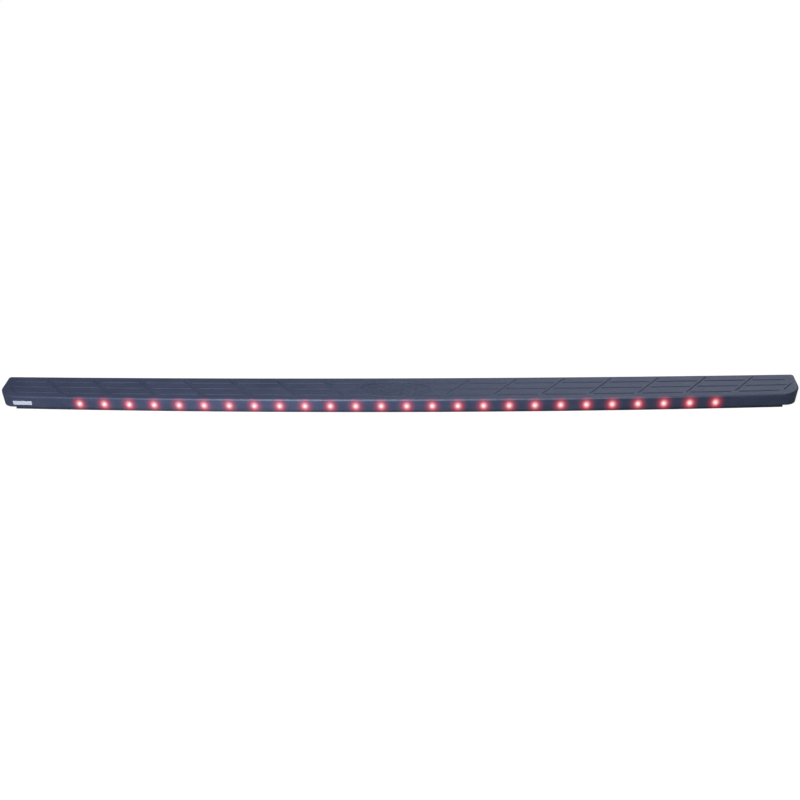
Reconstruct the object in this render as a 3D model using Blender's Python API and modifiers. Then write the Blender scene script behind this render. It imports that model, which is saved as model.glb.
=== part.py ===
"""Third brake light built into the moulded cap that covers the top of a pickup's tailgate.

The cap is a long bowed channel, open downwards. A row of red lights looks out of its rear wall,
and a sealed lamp module behind that wall holds their circuit boards and wires.

Frame: X runs along the tailgate, -Y points to the rear of the vehicle (the lit wall), +Y to the
bed, +Z up. The origin is under the middle of the part's box. All lengths are in metres.
"""

import math

import bmesh
import bpy
from mathutils import Matrix

# Cap, outside
HALF_LENGTH = 0.76
TOP_Z = 0.029
REAR_EDGE = 0.0320  # the crease between top and rear wall, at the ends
REAR_BOW = 0.020  # and how much further out it stands in the middle
BED_EDGE = 0.0516
BED_BOW = 0.011
REAR_CORNER = 0.042  # plan radius of the rear corners at the top, and at the foot
REAR_CORNER_FOOT = 0.021
BED_CORNER = 0.006
END_TAPER = 0.002
REAR_DRAFT = 0.0058
END_DRAFT = 0.0075
WALL_FOOT = 0.004  # lower edge of the rear and end walls; the bed wall reaches down to 0
CREASE_RADIUS = 0.0032
SKIN = 0.0026
CORNER_STEPS = 8
BED_CORNER_STEPS = 3

# Lights
LIGHT_COUNT = 26
PITCH = 0.048
LIGHT_Z = 0.0142
LENS_RADIUS = 0.004
LENS_HOLE = 0.0043
LENS_STANDOUT = 0.003  # the dome's tip, in front of the wall
FLANGE_RADIUS = 0.0046
FLANGE_DEPTH = 0.0083
FLANGE_THICK = 0.0015
LIGHT_FOOT_RADIUS = 0.003
ROUND_STEPS = 12

# Tread in the cap's top. Shares count from 0 at the crease to 1 at the bed edge.
TREAD_DEPTH = 0.0012
SLOT_WIDTH = 0.0045
SLOT_ROWS = (0.21, 0.48, 0.74)
SLANT_WIDTH = 0.003
SLANT_FROM = 0.22
SLANT_TO = 0.93
SLANT_ANGLE = math.radians(35)
SLANT_FIRST = 0.115
SLANT_PITCH = 0.090
SLANT_COUNT = 8
SLOT_CLEAR = 0.0065  # from a slot's end to the middle of the slanted groove
SLOT_END = 0.739
SLANT_END = 0.748
OVAL_HALF_X = 0.070
OVAL_HALF_Y = 0.033
OVAL_RIM = 0.0035
OVAL_RISE = 0.0008
OVAL_SINK = 0.0006
OVAL_CLEAR = 0.006
OVAL_STEPS = 40

# Lamp module. Depths count from the crease line towards the bed.
MODULE_END = 0.624
HOUSING_BACK = 0.018
HOUSING_WALL = 0.002
HOUSING_TOP = 0.021
HOUSING_FOOT = 0.0015
HOUSING_TOP_FRONT = 0.0079
HOUSING_FOOT_FRONT = 0.011
BOARD_FRONT = 0.0123
BOARD_THICK = 0.0016
BOARD_FOOT = 0.0042
BOARD_HEAD = 0.0184
BOARD_END = 0.618
LEDGE = 0.002
SEAL_HALF = 0.0007
GAP = 0.0003
EAR_STATIONS = (0.096, 0.240, 0.384, 0.528)
EAR_HALF = 0.006
EAR_BACK = 0.027
SCREW_DEPTH = 0.0225
SCREW_SHANK = 0.0017
SCREW_POINT = 0.0014
SCREW_HEAD = 0.0032
SCREW_HEAD_HIGH = 0.0018
EAR_HOLE_RADIUS = 0.0021
BOSS_RADIUS = 0.00375
PILOT_RADIUS = 0.00205
PLUG_THICK = 0.003
SPIGOT_FRONT = 0.0088
SPIGOT_FOOT = 0.0075
SPIGOT_HEAD = 0.0165
GLAND_DEPTH = 0.0115
GLAND_Z = 0.011
GLAND_BORE = 0.0023
GLAND_WAIST = 0.0032
GLAND_HOLE = 0.0036
GLAND_FLANGE = 0.0041
GLAND_NOSE = 0.009
WIRE_RADIUS = 0.0006
WIRE_RED_Z = 0.0140
WIRE_BLACK_Z = 0.0085
WIRE_OFF_AXIS = 0.0008  # each wire, from the grommet's axis
JUMPER_POINTS = ((0.006, 0.0022), (0.0088, 0.0014), (0.009, 0))  # (X, stand-off from the board)
FEED_INSET = 0.006  # from the board's outer end
FEED_KNEE = (0.0158, 0.0016)  # (along X from the plug's face, stand-off from the board)
FEED_X = (0.016, 0.012, 0.008, -0.006)  # board, turn, inside the grommet, outside it
BOARD_START = 0.002
GASKET_START = 0.001
GASKET_END = 0.620

# Ribs, trim, tape, badge
RIB_STATIONS = (0.645, 0.675, 0.705)
RIB_HALF = 0.001
RIB_FOOT = 0.008
RIB_REACH = 0.020
TRIM_END = 0.726
TRIM_LEG_TOP = 0.0066
TRIM_THICK = 0.0015
TRIM_CLEAR = 0.0005
TAPE_WIDTH = 0.012
TAPE_THICK = 0.0012
TAPE_FROM = 0.012
TAPE_TO = 0.700
REAR_TAPE_DEPTH = 0.030
BED_TAPE_DEPTH = 0.021
BADGE_X = -0.712
BADGE_Z = 0.0142
BADGE_SIZE = (0.037, 0.0006, 0.009)

BLACK_PLASTIC = ("moulded_black", (0.030, 0.034, 0.048), 0.55, 0.0)
GREY_PLASTIC = ("housing_grey", (0.06, 0.06, 0.065), 0.5, 0.0)
RED_LENS = ("red_lens", (0.75, 0.02, 0.03), 0.15, 0.0)
BOARD_GREEN = ("board_green", (0.02, 0.16, 0.06), 0.4, 0.0)
RUBBER = ("black_rubber", (0.015, 0.016, 0.02), 0.8, 0.0)
FOAM = ("seal_foam", (0.08, 0.08, 0.085), 0.9, 0.0)
TAPE = ("adhesive_tape", (0.35, 0.02, 0.02), 0.45, 0.0)
WIRE_RED = ("wire_red", (0.6, 0.02, 0.02), 0.4, 0.0)
WIRE_BLACK = ("wire_black", (0.02, 0.02, 0.02), 0.4, 0.0)
ZINC = ("zinc_steel", (0.6, 0.6, 0.58), 0.3, 1.0)
BADGE_WHITE = ("badge_white", (0.8, 0.8, 0.8), 0.3, 0.0)


# Scene and object helpers


def clear_scene():
    for item in list(bpy.data.objects):
        bpy.data.objects.remove(item, do_unlink=True)


def new_collection(name):
    collection = bpy.data.collections.new(name)
    bpy.context.scene.collection.children.link(collection)
    return collection


clear_scene()
PARTS = new_collection("third_brake_light")
CUTTERS = new_collection("cutters")


def material(finish):
    name, colour, roughness, metallic = finish
    found = bpy.data.materials.get(name)
    if found:
        return found
    made = bpy.data.materials.new(name)
    made.use_nodes = True
    shader = made.node_tree.nodes["Principled BSDF"]
    shader.inputs["Base Color"].default_value = (*colour, 1.0)
    shader.inputs["Roughness"].default_value = roughness
    shader.inputs["Metallic"].default_value = metallic
    return made


def new_object(name, shape, finish=None):
    """An object from a bmesh: a part of the lamp if it has a finish, otherwise a cutter."""
    bmesh.ops.recalc_face_normals(shape, faces=shape.faces)
    mesh = bpy.data.meshes.new(name)
    shape.to_mesh(mesh)
    shape.free()
    item = bpy.data.objects.new(name, mesh)
    if finish:
        mesh.materials.append(material(finish))
        PARTS.objects.link(item)
    else:
        CUTTERS.objects.link(item)
        item.hide_render = True
        item.display_type = "WIRE"
    return item


def combine(target, other, operation):
    modifier = target.modifiers.new(other.name, "BOOLEAN")
    modifier.operation = operation
    modifier.object = other


def mirror_x(item):
    modifier = item.modifiers.new("mirror", "MIRROR")
    modifier.merge_threshold = 0.00005


# Lines and frames that the whole part follows


def bow_share(x):
    return 1 - (x / HALF_LENGTH) ** 2


def crease_y(x):
    return -REAR_EDGE - REAR_BOW * bow_share(x)


def bed_y(x):
    return BED_EDGE - BED_BOW * bow_share(x)


def across_y(x, share):
    return crease_y(x) + share * (bed_y(x) - crease_y(x))


def crease_turn(x):
    """How far the crease line is turned from the X axis."""
    return math.atan(2 * REAR_BOW * x / HALF_LENGTH**2)


def wall_depth(z):
    """Depth of the rear wall's outer face behind the crease, at a height."""
    return REAR_DRAFT * (TOP_Z - z) / (TOP_Z - WALL_FOOT)


def facet_stations(start, end):
    """The bow is made of straight facets one light pitch long: their ends between start and end."""
    first = math.ceil(start / PITCH + 0.01)
    last = math.floor(end / PITCH - 0.01)
    return [start, *(PITCH * n for n in range(first, last + 1)), end]


def rear_frame(x, z):
    """Frame on the crease line: its Y looks into the part, square to the bow."""
    return Matrix.Translation((x, crease_y(x), z)) @ Matrix.Rotation(crease_turn(x), 4, "Z")


# Shape helpers


def sweep(shape, profile, stations, line=crease_y):
    """Extrude a profile of (depth, height) points from station to station along a bowed line."""
    start = stations[0]
    corners = [shape.verts.new((start, line(start) + depth, height)) for depth, height in profile]
    face = shape.faces.new(corners)
    for near, far in zip(stations, stations[1:]):
        grown = bmesh.ops.extrude_face_region(shape, geom=[face])["geom"]
        if near != start:
            bmesh.ops.delete(shape, geom=[face], context="FACES_ONLY")
        face = next(item for item in grown if isinstance(item, bmesh.types.BMFace))
        step = (far - near, line(far) - line(near), 0)
        bmesh.ops.translate(shape, verts=face.verts, vec=step)


def swept(name, profile, stations, finish=None, line=crease_y):
    shape = bmesh.new()
    sweep(shape, profile, stations, line)
    return new_object(name, shape, finish)


def rectangle(depth_from, depth_to, low, high):
    return [(depth_from, low), (depth_to, low), (depth_to, high), (depth_from, high)]


def add_cylinder(shape, radius, length, matrix, steps=ROUND_STEPS):
    bmesh.ops.create_cone(
        shape, cap_ends=True, segments=steps, radius1=radius, radius2=radius, depth=length, matrix=matrix
    )


def add_box(shape, size, matrix):
    bmesh.ops.create_cube(shape, size=1, matrix=matrix @ Matrix.Diagonal((*size, 1)))


def profile_mesh(name, profile, closed=False):
    """A half section of (radius, height) points, for a Screw modifier to turn about Z."""
    edges = [(n, n + 1) for n in range(len(profile) - 1)]
    if closed:
        edges.append((len(profile) - 1, 0))
    mesh = bpy.data.meshes.new(name)
    mesh.from_pydata([(radius, 0, height) for radius, height in profile], edges, [])
    return mesh


def turned(name, mesh, finish, steps=ROUND_STEPS):
    item = bpy.data.objects.new(name, mesh)
    PARTS.objects.link(item)
    if not mesh.materials:
        mesh.materials.append(material(finish))
    screw = item.modifiers.new("turn", "SCREW")
    screw.steps = steps
    screw.render_steps = steps
    screw.use_merge_vertices = True
    screw.merge_threshold = 0.00005
    screw.use_smooth_shade = True
    return item


def wire(name, points, finish):
    """A round wire through the points, rounded by averaging each corner into the line."""
    for _ in range(2):
        cut = [points[0]]
        for a, b in zip(points, points[1:]):
            cut += [tuple(0.75 * p + 0.25 * q for p, q in zip(a, b))]
            cut += [tuple(0.25 * p + 0.75 * q for p, q in zip(a, b))]
        points = [*cut, points[-1]]
    curve = bpy.data.curves.new(name, "CURVE")
    curve.dimensions = "3D"
    curve.bevel_depth = WIRE_RADIUS
    curve.bevel_resolution = 1
    curve.use_fill_caps = True
    spline = curve.splines.new("POLY")
    spline.points.add(len(points) - 1)
    for target, point in zip(spline.points, points):
        target.co = (*point, 1)
    curve.materials.append(material(finish))
    item = bpy.data.objects.new(name, curve)
    PARTS.objects.link(item)
    return item


# The cap


def half_outline(rear_in, end_in, radius):
    """Plan outline of the right half, drawn in by a draft: (rear part, bed part), rear middle first."""
    facets = [PITCH * n for n in range(int((HALF_LENGTH - REAR_CORNER) / PITCH) + 1)]
    end_x = HALF_LENGTH - end_in
    middle_x = end_x - radius
    turn = crease_turn(middle_x)
    middle_y = crease_y(middle_x + radius * math.sin(turn)) + rear_in + radius * math.cos(turn)
    rear = [(x, crease_y(x) + rear_in) for x in facets]
    for n in range(CORNER_STEPS + 1):
        angle = turn + (math.pi / 2 - turn) * n / CORNER_STEPS
        rear.append((middle_x + radius * math.sin(angle), middle_y - radius * math.cos(angle)))
    bed_x = end_x - END_TAPER - BED_CORNER
    bed = []
    for n in range(BED_CORNER_STEPS + 1):
        angle = math.pi / 2 * n / BED_CORNER_STEPS
        bed.append((bed_x + BED_CORNER * math.cos(angle), bed_y(bed_x) - BED_CORNER * (1 - math.sin(angle))))
    bed += [(x, bed_y(x)) for x in reversed(facets)]
    return rear, bed


def cap_surface():
    """Outer surface of the cap's right half: its flat top and its three walls, open below."""
    shape = bmesh.new()
    rear, bed = half_outline(0, 0, REAR_CORNER)
    rim = [shape.verts.new((x, y, TOP_Z)) for x, y in rear + bed]
    rear, bed = half_outline(REAR_DRAFT, END_DRAFT, REAR_CORNER_FOOT)
    foot = [shape.verts.new((x, y, WALL_FOOT)) for x, y in rear]
    foot += [shape.verts.new((x, y, 0)) for x, y in bed]
    shape.faces.new(rim)
    for n in range(len(rim) - 1):
        shape.faces.new((rim[n + 1], rim[n], foot[n], foot[n + 1]))
    return shape


def light_stations():
    return [(n - (LIGHT_COUNT - 1) / 2) * PITCH for n in range(LIGHT_COUNT)]


def light_holes():
    shape = bmesh.new()
    length = 0.020
    for x in light_stations():
        facing = Matrix.Rotation(math.pi / 2, 4, "X")
        add_cylinder(shape, LENS_HOLE, length, rear_frame(x, LIGHT_Z) @ facing)
    return new_object("light_holes", shape)


def slant_x(number, y):
    """Where a slanted groove's middle line is, at a distance y across the cap."""
    middle = SLANT_FIRST + SLANT_PITCH * number
    return middle + (y - across_y(middle, 0.5)) * math.tan(SLANT_ANGLE)


def groove(shape, start, end, width):
    """A straight cutter along the top from start to end, as deep as the tread."""
    along_x, along_y = end[0] - start[0], end[1] - start[1]
    middle = ((start[0] + end[0]) / 2, (start[1] + end[1]) / 2, TOP_Z)
    turn = Matrix.Rotation(math.atan2(along_y, along_x), 4, "Z")
    size = (math.hypot(along_x, along_y), width, 2 * TREAD_DEPTH)
    add_box(shape, size, Matrix.Translation(middle) @ turn)


def slot_ends(share):
    """Pairs of X where each slot of a row starts and stops: between the oval, the slants and the end."""
    y = across_y(OVAL_HALF_X, share)
    off_middle = min(1, abs(y - across_y(0, 0.5)) / OVAL_HALF_Y)
    start = OVAL_HALF_X * math.sqrt(1 - off_middle**2) + OVAL_CLEAR
    for number in range(SLANT_COUNT):
        cross = slant_x(number, across_y(SLANT_FIRST + SLANT_PITCH * number, share))
        yield start, min(cross - SLOT_CLEAR, SLOT_END)
        start = cross + SLOT_CLEAR
    yield start, SLOT_END


def tread_cutters():
    shape = bmesh.new()
    for share in SLOT_ROWS:
        for start, end in slot_ends(share):
            if end - start > 2 * SLOT_WIDTH:
                groove(shape, (start, across_y(start, share)), (end, across_y(end, share)), SLOT_WIDTH)
    for number in range(SLANT_COUNT):
        x = SLANT_FIRST + SLANT_PITCH * number
        low, high = across_y(x, SLANT_FROM), across_y(x, SLANT_TO)
        high -= max(0, slant_x(number, high) - SLANT_END) / math.tan(SLANT_ANGLE)
        groove(shape, (slant_x(number, low), low), (slant_x(number, high), high), SLANT_WIDTH)
    item = new_object("tread_cutters", shape)
    mirror_x(item)
    return item


def oval(name, grow, low, high):
    shape = bmesh.new()
    place = Matrix.Translation((0, across_y(0, 0.5), (low + high) / 2))
    stretch = Matrix.Diagonal((OVAL_HALF_X + grow, OVAL_HALF_Y + grow, 1, 1))
    add_cylinder(shape, 1, high - low, place @ stretch, OVAL_STEPS)
    return new_object(name, shape)


def ear_stations():
    return [side * x for side in (-1, 1) for x in EAR_STATIONS]


def screw_columns(name, radius, low, high):
    """Upright cylinders on the axes of the eight housing screws."""
    shape = bmesh.new()
    for x in ear_stations():
        place = rear_frame(x, (low + high) / 2) @ Matrix.Translation((0, SCREW_DEPTH, 0))
        add_cylinder(shape, radius, high - low, place)
    return new_object(name, shape)


def end_ribs():
    shape = bmesh.new()
    inside_skin = TOP_Z - SKIN / 2
    profile = [(wall_depth(RIB_FOOT) + SKIN / 2, RIB_FOOT), (RIB_REACH, inside_skin), (SKIN, inside_skin)]
    for x in RIB_STATIONS:
        for side in (-1, 1):
            sweep(shape, profile, sorted((side * x - RIB_HALF, side * x + RIB_HALF)))
    return new_object("end_ribs", shape)


def make_cap():
    cap = new_object("top_cap", cap_surface(), BLACK_PLASTIC)
    mirror_x(cap)
    rounding = cap.modifiers.new("crease", "BEVEL")
    rounding.width = CREASE_RADIUS
    rounding.segments = 2
    rounding.limit_method = "ANGLE"
    rounding.angle_limit = math.radians(40)
    shell = cap.modifiers.new("skin", "SOLIDIFY")
    shell.thickness = SKIN
    shell.offset = -1
    shell.use_even_offset = True
    skin_inside = TOP_Z - SKIN
    combine(cap, end_ribs(), "UNION")
    combine(cap, screw_columns("bosses", BOSS_RADIUS, HOUSING_TOP + GAP, skin_inside + SKIN / 2), "UNION")
    combine(cap, screw_columns("pilots", PILOT_RADIUS, HOUSING_WALL, skin_inside - GAP), "DIFFERENCE")
    combine(cap, oval("oval_rim", 0, skin_inside + SKIN / 2, TOP_Z + OVAL_RISE), "UNION")
    combine(cap, oval("oval_field", -OVAL_RIM, TOP_Z - OVAL_SINK, TOP_Z + SKIN), "DIFFERENCE")
    combine(cap, light_holes(), "DIFFERENCE")
    combine(cap, tread_cutters(), "DIFFERENCE")


# The lights


def light_profile():
    """From the dome's tip back to the base; heights are depths behind the crease, turned round."""
    face = wall_depth(LIGHT_Z)
    tip = face - LENS_STANDOUT
    dome = tip + LENS_RADIUS
    profile = [(0, -tip)]
    for angle in (35, 65):
        reach = math.radians(angle)
        profile.append((LENS_RADIUS * math.sin(reach), -dome + LENS_RADIUS * math.cos(reach)))
    base = FLANGE_DEPTH + FLANGE_THICK
    foot = BOARD_FRONT - GAP
    profile += [(LENS_RADIUS, -dome), (LENS_RADIUS, -FLANGE_DEPTH), (FLANGE_RADIUS, -FLANGE_DEPTH)]
    profile += [(FLANGE_RADIUS, -base), (LIGHT_FOOT_RADIUS, -base), (LIGHT_FOOT_RADIUS, -foot), (0, -foot)]
    return profile


def make_lights():
    mesh = profile_mesh("light", light_profile())
    for number, x in enumerate(light_stations(), start=1):
        light = turned(f"led_{number:02d}", mesh, RED_LENS)
        light.location = (x, crease_y(x), LIGHT_Z)
        light.rotation_euler = (math.pi / 2, 0, crease_turn(x))


# The lamp module


def housing_profile():
    """A channel open to the rear wall, with a ledge in each inner corner behind the board."""
    back = HOUSING_BACK - HOUSING_WALL
    ledge = BOARD_FRONT + BOARD_THICK + GAP
    roof = HOUSING_TOP - HOUSING_WALL
    floor = HOUSING_FOOT + HOUSING_WALL
    outside = [(HOUSING_FOOT_FRONT, HOUSING_FOOT), (HOUSING_BACK, HOUSING_FOOT)]
    outside += [(HOUSING_BACK, HOUSING_TOP), (HOUSING_TOP_FRONT, HOUSING_TOP)]
    inside = [(HOUSING_TOP_FRONT, roof), (ledge, roof), (ledge, roof - LEDGE), (back, roof - LEDGE)]
    inside += [(back, floor + LEDGE), (ledge, floor + LEDGE), (ledge, floor), (HOUSING_FOOT_FRONT, floor)]
    return outside + inside


def side_name(side):
    return "left" if side < 0 else "right"


def side_stations(side, start, end):
    near, far = sorted((side * start, side * end))
    return facet_stations(near, far)


def make_housings():
    ear_profile = rectangle(HOUSING_BACK - HOUSING_WALL / 2, EAR_BACK, HOUSING_TOP - HOUSING_WALL, HOUSING_TOP)
    holes = screw_columns("ear_holes", EAR_HOLE_RADIUS, HOUSING_FOOT, HOUSING_TOP + SKIN)
    for side in (-1, 1):
        stations = side_stations(side, SEAL_HALF + GAP, MODULE_END)
        housing = swept("led_housing_" + side_name(side), housing_profile(), stations, GREY_PLASTIC)
        ears = bmesh.new()
        for x in EAR_STATIONS:
            sweep(ears, ear_profile, sorted((side * x - EAR_HALF, side * x + EAR_HALF)))
        combine(housing, new_object("ears_" + side_name(side), ears), "UNION")
        combine(housing, holes, "DIFFERENCE")
    swept("housing_joint_seal", housing_profile(), [-SEAL_HALF, SEAL_HALF], RUBBER)


def make_boards():
    profile = rectangle(BOARD_FRONT, BOARD_FRONT + BOARD_THICK, BOARD_FOOT, BOARD_HEAD)
    for side in (-1, 1):
        stations = side_stations(side, BOARD_START, BOARD_END)
        swept("circuit_board_" + side_name(side), profile, stations, BOARD_GREEN)


def make_end_plugs():
    above_trim = TRIM_LEG_TOP + 2 * GAP
    profile = [(HOUSING_FOOT_FRONT, HOUSING_FOOT), (HOUSING_BACK, HOUSING_FOOT)]
    profile += [(HOUSING_BACK, HOUSING_TOP), (HOUSING_TOP_FRONT, HOUSING_TOP)]
    profile += [(HOUSING_TOP_FRONT + 2 * GAP, above_trim), (HOUSING_FOOT_FRONT, above_trim)]
    spigot = rectangle(SPIGOT_FRONT, HOUSING_BACK - HOUSING_WALL - GAP, SPIGOT_FOOT, SPIGOT_HEAD)
    inner = MODULE_END + GAP
    for side in (-1, 1):
        name = side_name(side)
        plate_span = sorted((side * inner, side * (inner + PLUG_THICK)))
        plug = swept("housing_end_plug_" + name, profile, plate_span, GREY_PLASTIC)
        spigot_span = sorted((side * (inner - PLUG_THICK), side * (inner + PLUG_THICK / 2)))
        combine(plug, swept("spigot_" + name, spigot, spigot_span), "UNION")
        if side < 0:
            combine(plug, gland_hole(), "DIFFERENCE")


def gland_place():
    x = -(MODULE_END + GAP + PLUG_THICK)
    return x, crease_y(x) + GLAND_DEPTH, GLAND_Z


def gland_hole():
    shape = bmesh.new()
    sideways = Matrix.Rotation(math.pi / 2, 4, "Y")
    add_cylinder(shape, GLAND_HOLE, 6 * PLUG_THICK, Matrix.Translation(gland_place()) @ sideways)
    return new_object("gland_hole", shape)


def make_gland():
    """A rubber grommet: waist through the plug, a flange each side of it and a tapered nose."""
    inner_face = -2 * PLUG_THICK
    lip = GLAND_FLANGE - GLAND_BORE
    profile = [(GLAND_BORE, GLAND_NOSE), (GLAND_WAIST, GLAND_NOSE), (GLAND_HOLE, lip)]
    profile += [(GLAND_FLANGE, lip), (GLAND_FLANGE, GAP), (GLAND_WAIST, GAP), (GLAND_WAIST, inner_face - GAP)]
    profile += [(GLAND_FLANGE - GAP, inner_face - GAP), (GLAND_WAIST, inner_face - lip)]
    profile += [(GLAND_BORE, inner_face - lip)]
    gland = turned("cable_gland", profile_mesh("gland", profile, closed=True), RUBBER)
    gland.location = gland_place()
    gland.rotation_euler = (0, -math.pi / 2, 0)


def make_gaskets():
    """Foam between the housing's upper leg and the rear wall."""
    roof = HOUSING_TOP - HOUSING_WALL
    back = HOUSING_TOP_FRONT - GAP
    clear = SKIN + 2 * GAP
    profile = [(wall_depth(roof) + clear, roof), (back, roof)]
    profile += [(back, HOUSING_TOP), (wall_depth(HOUSING_TOP) + clear, HOUSING_TOP)]
    for side in (-1, 1):
        swept("gasket_" + side_name(side), profile, side_stations(side, GASKET_START, GASKET_END), FOAM)


def make_wires():
    front = BOARD_FRONT - GAP
    for finish, height in ((WIRE_RED, WIRE_RED_Z), (WIRE_BLACK, WIRE_BLACK_Z)):
        colour = finish[0].split("_")[1]
        jumper = [(-x, front - off) for x, off in reversed(JUMPER_POINTS)]
        jumper += [(x, front - off) for x, off in JUMPER_POINTS]
        wire("jumper_" + colour, [(x, crease_y(0) + depth, height) for x, depth in jumper], finish)
        near_axis = GLAND_Z + math.copysign(WIRE_OFF_AXIS, height - GLAND_Z)
        x, y, _ = gland_place()
        board_y = crease_y(BOARD_END - FEED_INSET) + front
        on_board, turn, inside, outside = FEED_X
        feed = [(x + on_board, board_y, height), (x + FEED_KNEE[0], board_y - FEED_KNEE[1], height)]
        feed += [(x + turn, y - WIRE_OFF_AXIS, height), (x + inside, y, near_axis), (x + outside, y, near_axis)]
        wire("feed_" + colour, feed, finish)


def make_screws():
    """Pan-head tapping screws, driven up through the housing's ears into the cap's bosses."""
    head = HOUSING_TOP - HOUSING_WALL - GAP
    tip = TOP_Z - SKIN - 3 * GAP
    crown = head - SCREW_HEAD_HIGH
    profile = [(0, tip), (SCREW_SHANK / 3, tip), (SCREW_SHANK, tip - SCREW_POINT), (SCREW_SHANK, head)]
    profile += [(SCREW_HEAD, head), (SCREW_HEAD, head - SCREW_HEAD_HIGH / 2)]
    profile += [(0.7 * SCREW_HEAD, crown), (0, crown)]
    mesh = profile_mesh("housing_screw", profile)
    for number, x in enumerate(sorted(ear_stations()), start=1):
        screw = turned(f"housing_screw_{number}", mesh, ZINC, 10)
        screw.location = rear_frame(x, 0) @ Matrix.Translation((0, SCREW_DEPTH, 0)).translation


# Trim, tape and badge


def make_trim():
    """Rubber strip under the rear wall's edge, with a leg up its inner face."""
    inner = SKIN + TRIM_CLEAR
    face = wall_depth(WALL_FOOT) - GAP
    seat = WALL_FOOT - GAP
    back = wall_depth(WALL_FOOT) + inner + TRIM_THICK
    profile = [(face, 0), (back, 0), (back, TRIM_LEG_TOP), (wall_depth(TRIM_LEG_TOP) + inner, TRIM_LEG_TOP)]
    profile += [(wall_depth(seat) + inner, seat), (face, seat)]
    swept("edge_trim", profile, facet_stations(-TRIM_END, TRIM_END), RUBBER)


def make_tapes():
    """Foam tape under the cap's top, in two lines, which holds it to the tailgate."""
    high = TOP_Z - SKIN - GAP
    low = high - TAPE_THICK
    rear = rectangle(REAR_TAPE_DEPTH, REAR_TAPE_DEPTH + TAPE_WIDTH, low, high)
    bed = rectangle(-BED_TAPE_DEPTH, -BED_TAPE_DEPTH + TAPE_WIDTH, low, high)
    for side in (-1, 1):
        stations = side_stations(side, TAPE_FROM, TAPE_TO)
        swept("tape_rear_" + side_name(side), rear, stations, TAPE)
        swept("tape_bed_" + side_name(side), bed, stations, TAPE, bed_y)


def make_badge():
    """A thin plain plate on the rear wall near the left end, lying along its slope."""
    shape = bmesh.new()
    slope = math.atan(REAR_DRAFT / (TOP_Z - WALL_FOOT))
    off_wall = Matrix.Translation((0, wall_depth(BADGE_Z), 0)) @ Matrix.Rotation(slope, 4, "X")
    centre = Matrix.Translation((0, -GAP - BADGE_SIZE[1] / 2, 0))
    add_box(shape, BADGE_SIZE, rear_frame(BADGE_X, BADGE_Z) @ off_wall @ centre)
    new_object("badge_plate", shape, BADGE_WHITE)


make_cap()
make_lights()
make_housings()
make_boards()
make_end_plugs()
make_gland()
make_gaskets()
make_wires()
make_screws()
make_trim()
make_tapes()
make_badge()
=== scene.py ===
"""Looks of the third brake light: a moulded tailgate cap with a row of red lights in its rear wall.

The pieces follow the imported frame: X runs along the cap, -Y points to the rear (the lit wall), +Z up.
All lengths are in metres.
"""

import math

import bmesh
import bpy
from mathutils import Matrix, Vector


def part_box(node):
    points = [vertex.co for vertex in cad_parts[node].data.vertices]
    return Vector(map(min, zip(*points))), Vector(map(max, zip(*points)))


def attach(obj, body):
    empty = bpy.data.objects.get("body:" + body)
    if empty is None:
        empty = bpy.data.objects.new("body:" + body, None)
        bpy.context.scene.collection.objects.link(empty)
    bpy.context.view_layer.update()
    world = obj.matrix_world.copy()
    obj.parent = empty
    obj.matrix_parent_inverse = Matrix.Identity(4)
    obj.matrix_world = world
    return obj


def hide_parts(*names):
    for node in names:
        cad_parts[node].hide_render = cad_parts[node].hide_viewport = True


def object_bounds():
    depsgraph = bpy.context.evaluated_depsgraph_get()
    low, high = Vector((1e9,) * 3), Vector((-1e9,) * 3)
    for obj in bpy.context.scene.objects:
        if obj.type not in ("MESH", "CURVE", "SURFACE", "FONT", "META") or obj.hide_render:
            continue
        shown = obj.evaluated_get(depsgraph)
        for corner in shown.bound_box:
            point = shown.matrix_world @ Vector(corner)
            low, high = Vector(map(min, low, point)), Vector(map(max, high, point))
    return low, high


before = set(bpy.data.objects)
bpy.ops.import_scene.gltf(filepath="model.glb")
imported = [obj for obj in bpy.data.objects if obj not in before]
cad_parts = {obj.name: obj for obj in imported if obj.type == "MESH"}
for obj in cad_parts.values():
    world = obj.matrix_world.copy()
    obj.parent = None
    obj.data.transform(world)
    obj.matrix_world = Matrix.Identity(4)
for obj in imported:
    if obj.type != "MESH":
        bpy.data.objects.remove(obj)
CAD_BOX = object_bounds()

CAP_LOW, CAP_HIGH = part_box("top_cap")

# Cap, outside
OVAL_RISE = 0.0008
TOP_Z = CAP_HIGH.z - OVAL_RISE
HALF_LENGTH = CAP_HIGH.x + 0.00094  # the crease before it is rounded
REAR_BOW = 0.020
BED_BOW = 0.011
REAR_EDGE = -CAP_LOW.y + 0.00072 - REAR_BOW
BED_EDGE = CAP_HIGH.y + 0.00025
REAR_CORNER = 0.042
REAR_CORNER_FOOT = 0.021
BED_CORNER = 0.006
END_TAPER = 0.002
REAR_DRAFT = 0.0058
END_DRAFT = 0.0075
WALL_FOOT = 0.004
CREASE_RADIUS = 0.0030
BED_EDGE_RADIUS = 0.0016
INNER_RADIUS = 0.0012
SKIN = 0.0026
FOOT_CHAMFER = 0.0004
ALONG_STEPS = 64
CORNER_STEPS = 16
END_STEPS = 5
BED_CORNER_STEPS = 6
CREASE_STEPS = 7

# Lights
LIGHT_COUNT = 26
PITCH = 0.048
LIGHT_Z = 0.0142
LENS_RADIUS = 0.004
LENS_STANDOUT = 0.003
LENS_HOLE = 0.0043
FLANGE_RADIUS = 0.0046
FLANGE_DEPTH = 0.0083
FLANGE_THICK = 0.0015
FLANGE_CHAMFER = 0.0002
LIGHT_FOOT_RADIUS = 0.003
LIGHT_EDGE = 0.0003
LIGHT_STEPS = 32

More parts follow.
